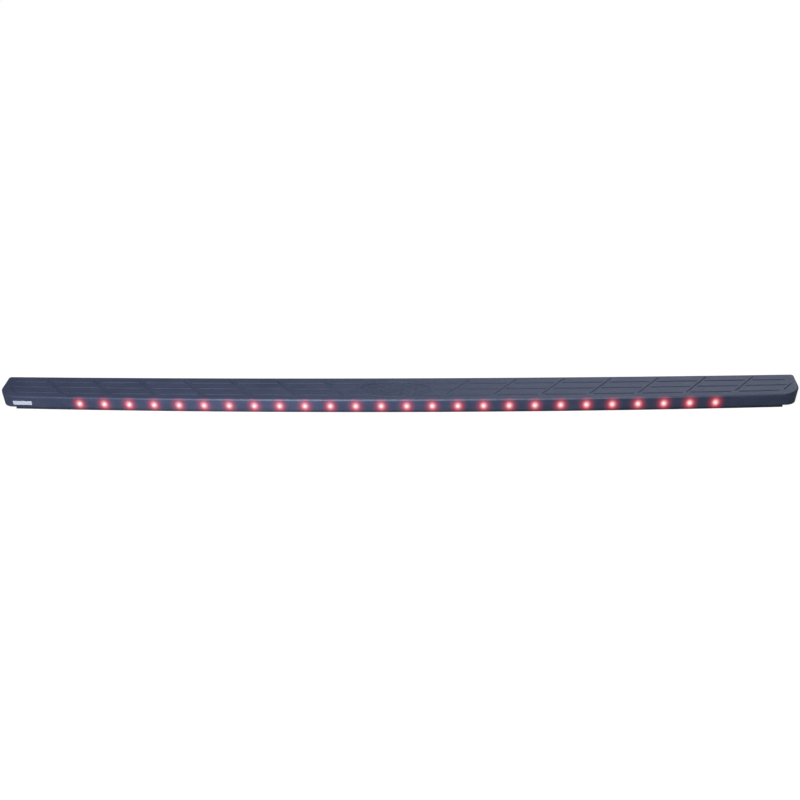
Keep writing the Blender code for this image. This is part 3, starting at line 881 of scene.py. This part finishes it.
def light_mesh(finishes):
    """Lens, flange and base of one light. Its Z looks out of the wall, from the crease line."""
    shape = bmesh.new()
    face = wall_depth(LIGHT_Z)
    tip = face - LENS_STANDOUT
    dome = tip + LENS_RADIUS
    lens = []
    for n in range(13):
        reach = math.pi / 2 * n / 12
        lens.append((LENS_RADIUS * math.sin(reach), -dome + LENS_RADIUS * math.cos(reach)))
    lens[0] = (0, -tip)
    neck = FLANGE_DEPTH - LIGHT_EDGE
    lens += [(LENS_RADIUS, -neck)]
    revolve(shape, lens, Matrix.Identity(4), finish=0)
    front, back = FLANGE_DEPTH, FLANGE_DEPTH + FLANGE_THICK
    rim = FLANGE_RADIUS - FLANGE_CHAMFER
    flange = [(LENS_RADIUS, -neck), (LENS_RADIUS + 0.0001, -front), (rim, -front)]
    flange += [(FLANGE_RADIUS, -front - FLANGE_CHAMFER), (FLANGE_RADIUS, FLANGE_CHAMFER - back)]
    flange += [(rim, -back), (LIGHT_FOOT_RADIUS, -back)]
    revolve(shape, flange, Matrix.Identity(4), finish=1)
    foot = BOARD_FRONT - GAP
    base = [(LIGHT_FOOT_RADIUS, -back), (LIGHT_FOOT_RADIUS, -foot + LIGHT_EDGE)]
    base += [(LIGHT_FOOT_RADIUS - LIGHT_EDGE, -foot), (0, -foot)]
    revolve(shape, base, Matrix.Identity(4), finish=2)
    bmesh.ops.remove_doubles(shape, verts=shape.verts, dist=0.000001)
    bmesh.ops.recalc_face_normals(shape, faces=shape.faces)
    for item in shape.faces:
        item.smooth = True
    for edge in shape.edges:
        edge.smooth = edge.calc_face_angle(0) < math.radians(35)
    mesh = mesh_from("light", shape)
    for finish in finishes:
        mesh.materials.append(finish)
    return mesh


def make_lights(finishes):
    mesh = light_mesh(finishes)
    for number, x in enumerate(light_stations(), start=1):
        light = link(f"light_{number:02d}", mesh)
        light.location = (x, crease_y(x), LIGHT_Z)
        light.rotation_euler = (math.pi / 2, 0, crease_turn(x))
        declare(light, [f"led_{number:02d}"])


# Trim and badge


def sweep(shape, profile, stations, line=crease_y):
    """A closed (depth, height) profile along a bowed line."""
    rings = [[(x, line(x) + depth, height) for depth, height in profile] for x in stations]
    solid(shape, rings)


def make_trim(finish):
    """Rubber strip under the rear wall's edge, with rounded corners and a leg up its inner face."""
    low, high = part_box("edge_trim")
    inner = SKIN + TRIM_CLEAR
    face = wall_depth(WALL_FOOT) - GAP
    seat = WALL_FOOT - GAP
    back = wall_depth(WALL_FOOT) + inner + TRIM_THICK
    r = 0.0007
    profile = [(face + r, 0), (back - r, 0), (back - 0.3 * r, 0.3 * r), (back, r)]
    profile += [(back, TRIM_LEG_TOP - 0.0003), (back - 0.0004, TRIM_LEG_TOP)]
    profile += [(wall_depth(TRIM_LEG_TOP) + inner, TRIM_LEG_TOP)]
    profile += [(wall_depth(seat) + inner, seat), (face + 0.5 * r, seat), (face + 0.15 * r, seat - 0.15 * r)]
    profile += [(face, seat - 0.5 * r), (face, r), (face + 0.3 * r, 0.3 * r)]
    shape = bmesh.new()
    sweep(shape, profile, spread(low.x, high.x, 0.012))
    trim = to_piece("edge_trim_strip", shape, [finish], ["edge_trim"])
    smooth(trim, 40)


BADGE_HALF_X = 0.0185
BADGE_HALF_Z = 0.0045
BADGE_ROUND = 0.0016
BADGE_THICK = 0.0006
BADGE_CHAMFER = 0.00018


def badge_frame():
    slope = math.atan(REAR_DRAFT / (TOP_Z - WALL_FOOT))
    off_wall = Matrix.Translation((0, wall_depth(BADGE_Z), 0)) @ Matrix.Rotation(slope, 4, "X")
    return rear_frame(BADGE_X, BADGE_Z) @ off_wall


def rounded_box_ring(half_x, half_z, radius, depth, place):
    points = []
    for corner_x, corner_z, start in ((1, 1, 0), (-1, 1, 90), (-1, -1, 180), (1, -1, 270)):
        for n in range(6):
            angle = math.radians(start + 90 * n / 5)
            x = corner_x * (half_x - radius) + radius * math.cos(angle)
            z = corner_z * (half_z - radius) + radius * math.sin(angle)
            points.append(place @ Vector((x, depth, z)))
    return points


def make_badge(finish):
    """A blank plate on the rear wall near the left end."""
    place = badge_frame()
    front = -GAP - BADGE_THICK
    shape = bmesh.new()
    rings = []
    for inset, depth in ((0, -GAP), (0, front + BADGE_CHAMFER), (BADGE_CHAMFER, front)):
        sizes = [size - inset for size in (BADGE_HALF_X, BADGE_HALF_Z, BADGE_ROUND)]
        rings.append(rounded_box_ring(*sizes, depth, place))
    solid(shape, rings)
    badge = to_piece("badge", shape, [finish], ["badge_plate"])
    smooth(badge, 40)


# The lamp module


SIDES = ((-1, "left"), (1, "right"))


def rounded(profile, radius, steps=3):
    """The closed profile with each corner turned into a small round."""
    corners = [Vector(point) for point in profile]
    made = []
    for n, corner in enumerate(corners):
        start = corner + (corners[n - 1] - corner).normalized() * radius
        end = corner + (corners[(n + 1) % len(corners)] - corner).normalized() * radius
        for k in range(steps + 1):
            share = k / steps
            made.append(tuple(start.lerp(corner, share).lerp(corner.lerp(end, share), share)))
    return made


def box_profile(depth_from, depth_to, low, high):
    return [(depth_from, low), (depth_to, low), (depth_to, high), (depth_from, high)]


def side_stations(side, start, end):
    return spread(*sorted((side * start, side * end)), 0.012)


def finish_from(shape, count, finish):
    """Every face made after the first count takes this material."""
    for item in list(shape.faces)[count:]:
        item.material_index = finish


def slab(shape, outline, low, high, place, edge=0.0003):
    """An upright plate of a plan outline, with its upper and lower rims broken."""
    middle = sum((Vector(point) for point in outline), Vector((0, 0))) / len(outline)
    rings = []
    for height, inset in ((low, edge), (low + edge, 0), (high - edge, 0), (high, edge)):
        away = [Vector(point) - middle for point in outline]
        drawn = [middle + arm * (1 - inset / arm.length) for arm in away]
        rings.append([place @ Vector((*point, height)) for point in drawn])
    solid(shape, rings)


def housing_outline():
    front = [(HOUSING_FOOT_FRONT, HOUSING_FOOT), (HOUSING_BACK, HOUSING_FOOT)]
    return front + [(HOUSING_BACK, HOUSING_TOP), (HOUSING_TOP_FRONT, HOUSING_TOP)]


def housing_profile():
    """A channel open to the rear wall, with a ledge in each inner corner behind the board."""
    back = HOUSING_BACK - HOUSING_WALL
    ledge = BOARD_FRONT + BOARD_THICK + GAP
    roof = HOUSING_TOP - HOUSING_WALL
    floor = HOUSING_FOOT + HOUSING_WALL
    inside = [(HOUSING_TOP_FRONT, roof), (ledge, roof), (ledge, roof - LEDGE), (back, roof - LEDGE)]
    inside += [(back, floor + LEDGE), (ledge, floor + LEDGE), (ledge, floor), (HOUSING_FOOT_FRONT, floor)]
    return rounded(housing_outline() + inside, 0.0004)


BACK_RIB_ROOT = 0.0007  # half its width where it leaves the channel's back
BACK_RIB_EDGE = 0.0005  # and half its width at its outer edge
BACK_RIB_RISE = 0.0009
BACK_RIB_FOOT = 0.0015
BACK_RIB_HEAD = 0.0035


def make_housings(finish, seal_finish):
    """Channels with screw ears and a row of low stiffening ribs down the back."""
    root = HOUSING_BACK - HOUSING_WALL / 2
    ear = [(-EAR_HALF - 0.0015, root), (EAR_HALF + 0.0015, root), (EAR_HALF, root + 0.003)]
    ear += [(EAR_HALF, EAR_BACK), (-EAR_HALF, EAR_BACK), (-EAR_HALF, root + 0.003)]
    ear = rounded(ear, 0.0014, 4)
    back = HOUSING_BACK + BACK_RIB_RISE
    rib = [(-BACK_RIB_ROOT, root), (BACK_RIB_ROOT, root), (BACK_RIB_EDGE, back), (-BACK_RIB_EDGE, back)]
    rib = rounded(rib, 0.0002)
    under, over = HOUSING_TOP - 0.004, HOUSING_TOP + 0.002
    hole = [(0, under), (EAR_HOLE_RADIUS, under), (EAR_HOLE_RADIUS, over), (0, over)]
    for side, name in SIDES:
        channel = bmesh.new()
        sweep(channel, housing_profile(), side_stations(side, SEAL_HALF + GAP, MODULE_END))
        node = f"led_housing_{name}"
        housing = to_piece(f"lamp_housing_{name}", channel, [finish], [node])
        added = bmesh.new()
        holes = bmesh.new()
        for x in EAR_STATIONS:
            slab(added, ear, HOUSING_TOP - HOUSING_WALL, HOUSING_TOP, rear_frame(side * x, 0))
            revolve(holes, hole, screw_place(side * x), 24)
        for x in light_stations():
            if x * side > 0:
                low, high = HOUSING_FOOT + BACK_RIB_FOOT, HOUSING_TOP - BACK_RIB_HEAD
                slab(added, rib, low, high, rear_frame(x, 0), 0.0002)
        combine(housing, added, "UNION")
        combine(housing, holes, "DIFFERENCE")
        smooth(housing)
    seal = bmesh.new()
    sweep(seal, housing_profile(), [-SEAL_HALF, 0, SEAL_HALF])
    smooth(to_piece("joint_seal", seal, [seal_finish], ["housing_joint_seal"]))


def gland_place():
    x = -(MODULE_END + GAP + PLUG_THICK)
    place = Matrix.Translation((x, crease_y(x) + GLAND_DEPTH, GLAND_Z))
    return place @ Matrix.Rotation(-math.pi / 2, 4, "Y")


def make_end_plugs(finish):
    """Plates that close the housings' outer ends, each with a spigot inside the channel."""
    above_trim = TRIM_LEG_TOP + 2 * GAP
    plate = housing_outline()
    plate += [(HOUSING_TOP_FRONT + 2 * GAP, above_trim), (HOUSING_FOOT_FRONT, above_trim)]
    inner = MODULE_END + GAP
    for side, name in SIDES:
        shape = bmesh.new()
        sweep(shape, rounded(plate, 0.0005), side_stations(side, inner, inner + PLUG_THICK))
        plug = to_piece(f"end_plug_{name}", shape, [finish], [f"housing_end_plug_{name}"])
        spigot = bmesh.new()
        span = side_stations(side, inner - PLUG_THICK, inner + PLUG_THICK / 2)
        sweep(spigot, rounded(box_profile(*SPIGOT), 0.0006), span)
        combine(plug, spigot, "UNION")
        if side < 0:
            hole = bmesh.new()
            length = 3 * PLUG_THICK
            bore = [(0, -length), (GLAND_HOLE, -length), (GLAND_HOLE, length), (0, length)]
            revolve(hole, bore, gland_place())
            combine(plug, hole, "DIFFERENCE")
        smooth(plug)


def make_gland(finish):
    """A rubber grommet: waist through the plug, a flange each side of it and a ringed nose."""
    inner_face = -2 * PLUG_THICK
    lip = GLAND_FLANGE - GLAND_BORE
    profile = [(GLAND_BORE, GLAND_NOSE)]
    rings = 8
    for n in range(rings + 1):
        radius = GLAND_WAIST + (GLAND_HOLE - GLAND_WAIST) * n / rings
        profile.append((radius - 0.0004 * (n % 2), GLAND_NOSE + (lip - GLAND_NOSE) * n / rings))
    profile += [(GLAND_FLANGE, lip), (GLAND_FLANGE, GAP), (GLAND_WAIST, GAP)]
    profile += [(GLAND_WAIST, inner_face - GAP), (GLAND_FLANGE - GAP, inner_face - GAP)]
    profile += [(GLAND_WAIST, inner_face - lip), (GLAND_BORE, inner_face - lip)]
    profile = rounded(profile, 0.00012, 2)
    shape = bmesh.new()
    revolve(shape, profile + profile[:1], gland_place())
    bmesh.ops.remove_doubles(shape, verts=shape.verts, dist=0.000001)
    smooth(to_piece("grommet", shape, [finish], ["cable_gland"]))


def facing_out(x, height, depth):
    """Frame at a depth behind the crease: its Z looks out of the wall."""
    return rear_frame(x, height) @ Matrix.Translation((0, depth, 0)) @ Matrix.Rotation(math.pi / 2, 4, "X")


SOLDER = [(0.0010, 0), (0.0007, 0.0002), (0.0004, 0.0005), (0.0002, 0.00065), (0, 0.0007)]


def solder(shape, place, finish):
    """A low cone of solder that stands on the frame's Z."""
    count = len(shape.faces)
    revolve(shape, SOLDER, place, 16)
    finish_from(shape, count, finish)


RESISTOR = (  # (offset along the board, size, finish)
    (0, (0.0020, 0.00055, 0.0016), 1),
    (-0.0013, (0.0006, 0.0006, 0.00165), 2),
    (0.0013, (0.0006, 0.0006, 0.00165), 2),
)
RESISTOR_Z = 0.0112
RESISTOR_SHIFT = 0.35 * PITCH  # from its light, towards the middle


def add_resistor(shape, x):
    """A chip resistor on the board's front: a black body between two tinned ends."""
    for offset, size, finish in RESISTOR:
        count = len(shape.faces)
        place = rear_frame(x, RESISTOR_Z) @ Matrix.Translation((offset, BOARD_FRONT - size[1] / 2, 0))
        add_box(shape, size, place)
        finish_from(shape, count, finish)


def make_boards(finishes):
    """Boards with a resistor beside each light, and solder on each light's two leads behind."""
    profile = rounded(box_profile(BOARD_FRONT, BOARD_FRONT + BOARD_THICK, BOARD_FOOT, BOARD_HEAD), 0.0001, 1)
    turned_back = Matrix.Rotation(math.pi, 4, "X")
    for side, name in SIDES:
        shape = bmesh.new()
        sweep(shape, profile, side_stations(side, BOARD_START, BOARD_END))
        for x in light_stations():
            if x * side > 0:
                add_resistor(shape, x - side * RESISTOR_SHIFT)
                for lead in (-LEAD_OFF_AXIS, LEAD_OFF_AXIS):
                    back = facing_out(x + lead, LIGHT_Z, BOARD_FRONT + BOARD_THICK)
                    solder(shape, back @ turned_back, 2)
        smooth(to_piece(f"board_{name}", shape, finishes, [f"circuit_board_{name}"]))


def make_gaskets(finish):
    """Foam between each housing's upper leg and the rear wall, a little bulged at its open faces."""
    roof = HOUSING_TOP - HOUSING_WALL
    back = HOUSING_TOP_FRONT - GAP
    clear = SKIN + 2 * GAP
    front = [(wall_depth(HOUSING_TOP) + clear, HOUSING_TOP), (wall_depth(roof) + clear, roof)]
    profile = rounded([front[1], (back, roof), (back, HOUSING_TOP), front[0]], 0.0006)
    for side, name in SIDES:
        shape = bmesh.new()
        sweep(shape, profile, side_stations(side, GASKET_START, GASKET_END))
        smooth(to_piece(f"foam_gasket_{name}", shape, [finish], [f"gasket_{name}"]))


def tube(shape, points, radius, steps=14):
    """A round tube along the points, its corners eased by averaging them into the line."""
    path = [Vector(point) for point in points]
    for _ in range(3):
        cut = [path[0]]
        for near, far in zip(path, path[1:]):
            cut += [near.lerp(far, 0.25), near.lerp(far, 0.75)]
        path = [*cut, path[-1]]
    side = None
    rings = []
    for n, point in enumerate(path):
        along = (path[min(n + 1, len(path) - 1)] - path[max(n - 1, 0)]).normalized()
        side = along.orthogonal() if side is None else side - along * side.dot(along)
        side.normalize()
        up = along.cross(side)
        rings.append([point + (side * math.cos(a) + up * math.sin(a)) * radius for a in around(steps)])
    solid(shape, rings)


def make_wires(red, black, tin):
    """Two wires that join the boards, and two from the left board into the grommet."""
    front = BOARD_FRONT - GAP
    for colour, finish, height in (("red", red, WIRE_RED_Z), ("black", black, WIRE_BLACK_Z)):
        half = [(x, front - off) for x, off in JUMPER_POINTS]
        ends = [(-x, depth) for x, depth in reversed(half)] + half
        shape = bmesh.new()
        tube(shape, [(x, crease_y(0) + depth, height) for x, depth in ends], WIRE_RADIUS)
        for x in (ends[0][0], ends[-1][0]):
            solder(shape, facing_out(x, height, BOARD_FRONT), 1)
        smooth(to_piece(f"board_jumper_{colour}", shape, [finish, tin], [f"jumper_{colour}"]), 50)
        near_axis = GLAND_Z + math.copysign(WIRE_OFF_AXIS, height - GLAND_Z)
        x, y, _ = gland_place().translation
        board_y = crease_y(BOARD_END - 0.006) + front
        points = [(x + FEED_START, board_y, height), (x + 0.0158, board_y - 0.0016, height)]
        points += [(x + 0.012, y - 0.0008, height), (x + 0.008, y, near_axis), (x - 0.006, y, near_axis)]
        shape = bmesh.new()
        tube(shape, points, WIRE_RADIUS)
        solder(shape, facing_out(x + FEED_START, height, BOARD_FRONT), 1)
        smooth(to_piece(f"lead_{colour}", shape, [finish, tin], [f"feed_{colour}"]), 50)


def screw_profile():
    """Half section from the point down to the crown; the thread is turned as separate ridges."""
    head = HOUSING_TOP - HOUSING_WALL - GAP
    tip = TOP_Z - SKIN - 3 * GAP
    profile = [(0, tip), (SCREW_ROOT / 3, tip), (SCREW_ROOT, tip - SCREW_POINT)]
    height = tip - SCREW_POINT
    while height - THREAD_PITCH > head + 0.0003:
        profile += [(SCREW_SHANK, height - THREAD_PITCH * 0.45), (SCREW_SHANK, height - THREAD_PITCH * 0.55)]
        height -= THREAD_PITCH
        profile.append((SCREW_ROOT, height))
    profile += [(SCREW_ROOT, head), (SCREW_HEAD - 0.0001, head), (SCREW_HEAD, head - 0.0001)]
    straight = SCREW_HEAD_HIGH * 0.4
    for n in range(9):
        turn = math.pi / 2 * n / 9
        rise = (SCREW_HEAD_HIGH - straight) * math.sin(turn)
        profile.append((SCREW_HEAD * math.cos(turn), head - straight - rise))
    return profile + [(0, head - SCREW_HEAD_HIGH)]


def make_screws(finish):
    """Pan-head screws with a cross recess, each turned to its own angle."""
    shape = bmesh.new()
    revolve(shape, screw_profile(), Matrix.Identity(4))
    blank = helper("screw", shape)
    crown = HOUSING_TOP - HOUSING_WALL - GAP - SCREW_HEAD_HIGH
    recess = bmesh.new()
    rings = []
    for arm, half, height in ((0.0021, 0.00042, crown - 0.0004), (0.0012, 0.00022, crown + 0.0012)):
        quarter = [(arm, -half), (arm, half), (half, half)]
        ring = []
        for angle in around(4):
            turned = Matrix.Rotation(angle, 4, "Z")
            ring += [turned @ Vector((*point, height)) for point in quarter]
        rings.append(ring)
    solid(recess, rings)
    combine(blank, recess, "DIFFERENCE")
    smooth(blank, 35)
    mesh = blank.data
    mesh.materials.clear()
    mesh.materials.append(finish)
    bpy.data.objects.remove(blank)
    for number, x in enumerate(sorted(ear_stations()), start=1):
        screw = link(f"screw_{number}", mesh)
        screw.location = screw_place(x).translation
        screw.rotation_euler = (0, 0, 0.7 * number)
        declare(screw, [f"housing_screw_{number}"])


def make_tapes(finishes):
    """Four runs of foam tape under the top, each with its red liner still on the lower face."""
    high = TOP_Z - SKIN - GAP
    low = high - TAPE_THICK
    for row, start, line in (("rear", REAR_TAPE_DEPTH, crease_y), ("bed", -BED_TAPE_DEPTH, bed_y)):
        foam = rounded(box_profile(start, start + TAPE_WIDTH, low + LINER_THICK, high), 0.00015, 2)
        liner = box_profile(start - 0.0001, start + TAPE_WIDTH + 0.0001, low, low + LINER_THICK)
        for side, end in SIDES:
            name = f"{row}_{end}"
            shape = bmesh.new()
            sweep(shape, foam, side_stations(side, TAPE_FROM, TAPE_TO), line)
            count = len(shape.faces)
            sweep(shape, liner, side_stations(side, TAPE_FROM, TAPE_TO), line)
            finish_from(shape, count, 1)
            smooth(to_piece(f"foam_tape_{name}", shape, finishes, [f"tape_{name}"]))


# Camera, floor and light


def aim(thing, place, target):
    thing.location = place
    thing.rotation_euler = (Vector(target) - Vector(place)).to_track_quat("-Z", "Y").to_euler()


CAMERA_LENS = 69.32
CAMERA_PLACE = (0.158, -2.6133, 1.3424)
CAMERA_LOOK = (-0.0508, 0.8902, -0.4526)
CAMERA_TILT = -0.20  # in degrees, like the roll
CAMERA_ROLL = -1.63


def make_camera():
    data = bpy.data.cameras.new("camera")
    data.lens = CAMERA_LENS
    data.sensor_width = 36
    data.clip_end = 200
    camera = link("camera", data)
    look = Vector(CAMERA_LOOK).to_track_quat("-Z", "Y").to_matrix().to_4x4()
    tilt = Matrix.Rotation(math.radians(CAMERA_TILT), 4, "X")
    roll = Matrix.Rotation(math.radians(CAMERA_ROLL), 4, "Z")
    camera.matrix_world = Matrix.Translation(CAMERA_PLACE) @ look @ tilt @ roll
    scene.camera = camera


def area_light(name, place, target, size, power):
    data = bpy.data.lights.new(name, "AREA")
    data.shape = "RECTANGLE"
    data.size, data.size_y = size
    data.energy = power
    data.color = SOFTBOX_COLOUR
    lamp = link(name, data)
    aim(lamp, place, target)
    lamp.visible_camera = False


FLOOR_HALF = 30
FLOOR_GLOW = 0.15
FLOOR_SEEN = {
    "Base Color": (0.09, 0.09, 0.09, 1),
    "Roughness": 0.9,
    "Specular IOR Level": 0.0,
    "Emission Color": (1, 1, 1, 1),
    "Emission Strength": 0.94,
}
WORLD_STOPS = [
    (0.0, (0.9, 0.9, 0.9)),
    (0.5, (0.52, 0.56, 0.64)),
    (0.58, (0.22, 0.24, 0.29)),
    (0.75, (0.20, 0.22, 0.27)),
    (1.0, (0.5, 0.52, 0.58)),
]


def split_view(tree, part_sees, camera_sees, output):
    """The camera sees one shader directly; the part is lit by the other."""
    path = tree.nodes.new("ShaderNodeLightPath")
    mix = tree.nodes.new("ShaderNodeMixShader")
    for value, socket in zip((path.outputs["Is Camera Ray"], part_sees, camera_sees), mix.inputs):
        tree.links.new(value, socket)
    tree.links.new(mix.outputs[0], tree.nodes[output].inputs["Surface"])


def make_floor():
    """The camera sees a nearly even white floor; the part gets a dimmer bounce from it."""
    bpy.ops.mesh.primitive_plane_add(size=2 * FLOOR_HALF, location=(0, 0, CAD_BOX[0][2]))
    floor = bpy.context.object
    floor.name = "floor"
    paint = Paint("floor_white")
    paint.set(Roughness=0.9, Specular_IOR_Level=0.0, Emission_Strength=FLOOR_GLOW)
    paint.colour(paint.blend(paint.noise(2, 3), (0.25, 0.25, 0.25), (0.28, 0.28, 0.28)))
    paint.set(Emission_Color=(1, 1, 1, 1))
    seen = paint.tree.nodes.new("ShaderNodeBsdfPrincipled")
    for name, value in FLOOR_SEEN.items():
        seen.inputs[name].default_value = value
    split_view(paint.tree, paint.shader.outputs[0], seen.outputs[0], "Material Output")
    floor.data.materials.append(paint.material)


def make_world():
    """The camera sees plain white; the part sees a pale room that is dim above the horizon."""
    world = bpy.data.worlds.new("studio")
    scene.world = world
    world.use_nodes = True
    tree = world.node_tree
    nodes, links = tree.nodes, tree.links
    background = nodes["Background"]
    place = nodes.new("ShaderNodeTexCoord")
    parts = nodes.new("ShaderNodeSeparateXYZ")
    links.new(place.outputs["Generated"], parts.inputs[0])
    height = nodes.new("ShaderNodeMapRange")
    height.inputs["From Min"].default_value = -1
    links.new(parts.outputs[2], height.inputs["Value"])
    ramp = nodes.new("ShaderNodeValToRGB")
    links.new(height.outputs[0], ramp.inputs["Fac"])
    fill_ramp(ramp, WORLD_STOPS)
    seen = nodes.new("ShaderNodeBackground")
    seen.inputs["Color"].default_value = (1, 1, 1, 1)
    links.new(ramp.outputs["Color"], background.inputs["Color"])
    split_view(tree, background.outputs[0], seen.outputs[0], "World Output")


SUN_POWER = 1.25
SUN_ANGLE = math.radians(60)
SUN_COLOUR = (0.96, 0.98, 1.07)
SOFTBOX_COLOUR = (0.93, 0.98, 1.13)
SOFTBOXES = [  # (name, place, target, size, power)
    ("back_right", (0.95, 1.7, 1.0), (0.35, 0, 0), (2.0, 0.9), 16),
    ("front_left", (-0.27, -0.60, 0.06), (-0.27, 0, 0.015), (0.35, 0.12), 4.6),
    ("front_high", (-0.35, -1.1, 0.8), (-0.1, 0, 0), (1.1, 0.22), 27),
]


def make_lighting():
    sun = bpy.data.lights.new("overhead", "SUN")
    sun.energy = SUN_POWER
    sun.angle = SUN_ANGLE
    sun.color = SUN_COLOUR
    aim(link("overhead", sun), (-1, -1.5, 4), (0, 0, 0))
    for softbox in SOFTBOXES:
        area_light(*softbox)


make_camera()
make_world()
make_floor()
make_lighting()

BLACK = moulded_black()
RUBBER = rubber()
make_cap(BLACK)
make_lights([lit_lens(), red_plastic(), plain("epoxy", (0.28, 0.27, 0.26), (0.38, 0.37, 0.35), 0.4)])
make_trim(RUBBER)
make_badge(plain("badge_grey", (0.30, 0.31, 0.33), (0.36, 0.37, 0.39), 0.4))
HOUSING_GREY = plain("housing_grey", (0.028, 0.029, 0.033), (0.045, 0.046, 0.051), 0.5, 400, 0.00008)
TIN = plain("tinned_metal", (0.52, 0.53, 0.54), (0.66, 0.67, 0.68), 0.35, 500, 0.00003, Metallic=1.0)
ZINC = plain("zinc_steel", (0.45, 0.46, 0.47), (0.60, 0.61, 0.62), 0.34, 260, 0.00003, Metallic=1.0)
CHIP = plain("chip_black", (0.012, 0.012, 0.013), (0.02, 0.02, 0.022), 0.45, 900)
make_housings(HOUSING_GREY, RUBBER)
make_end_plugs(HOUSING_GREY)
make_gland(RUBBER)
make_boards([board_green(), CHIP, TIN])
make_gaskets(plain("seal_foam", (0.035, 0.035, 0.038), (0.060, 0.060, 0.064), 0.9, 700, 0.0003))
WIRE_RED = plain("wire_red", (0.42, 0.012, 0.015), (0.52, 0.018, 0.022), 0.4, 500)
WIRE_BLACK = plain("wire_black", (0.011, 0.011, 0.012), (0.018, 0.018, 0.020), 0.4, 500)
make_wires(WIRE_RED, WIRE_BLACK, TIN)
make_screws(ZINC)
TAPE_FOAM = plain("tape_foam", (0.045, 0.046, 0.050), (0.075, 0.076, 0.082), 0.9, 800, 0.0002)
LINER = plain("red_liner", (0.36, 0.018, 0.022), (0.44, 0.026, 0.032), 0.28, 120, 0.00004, Coat_Weight=0.2)
make_tapes([TAPE_FOAM, LINER])
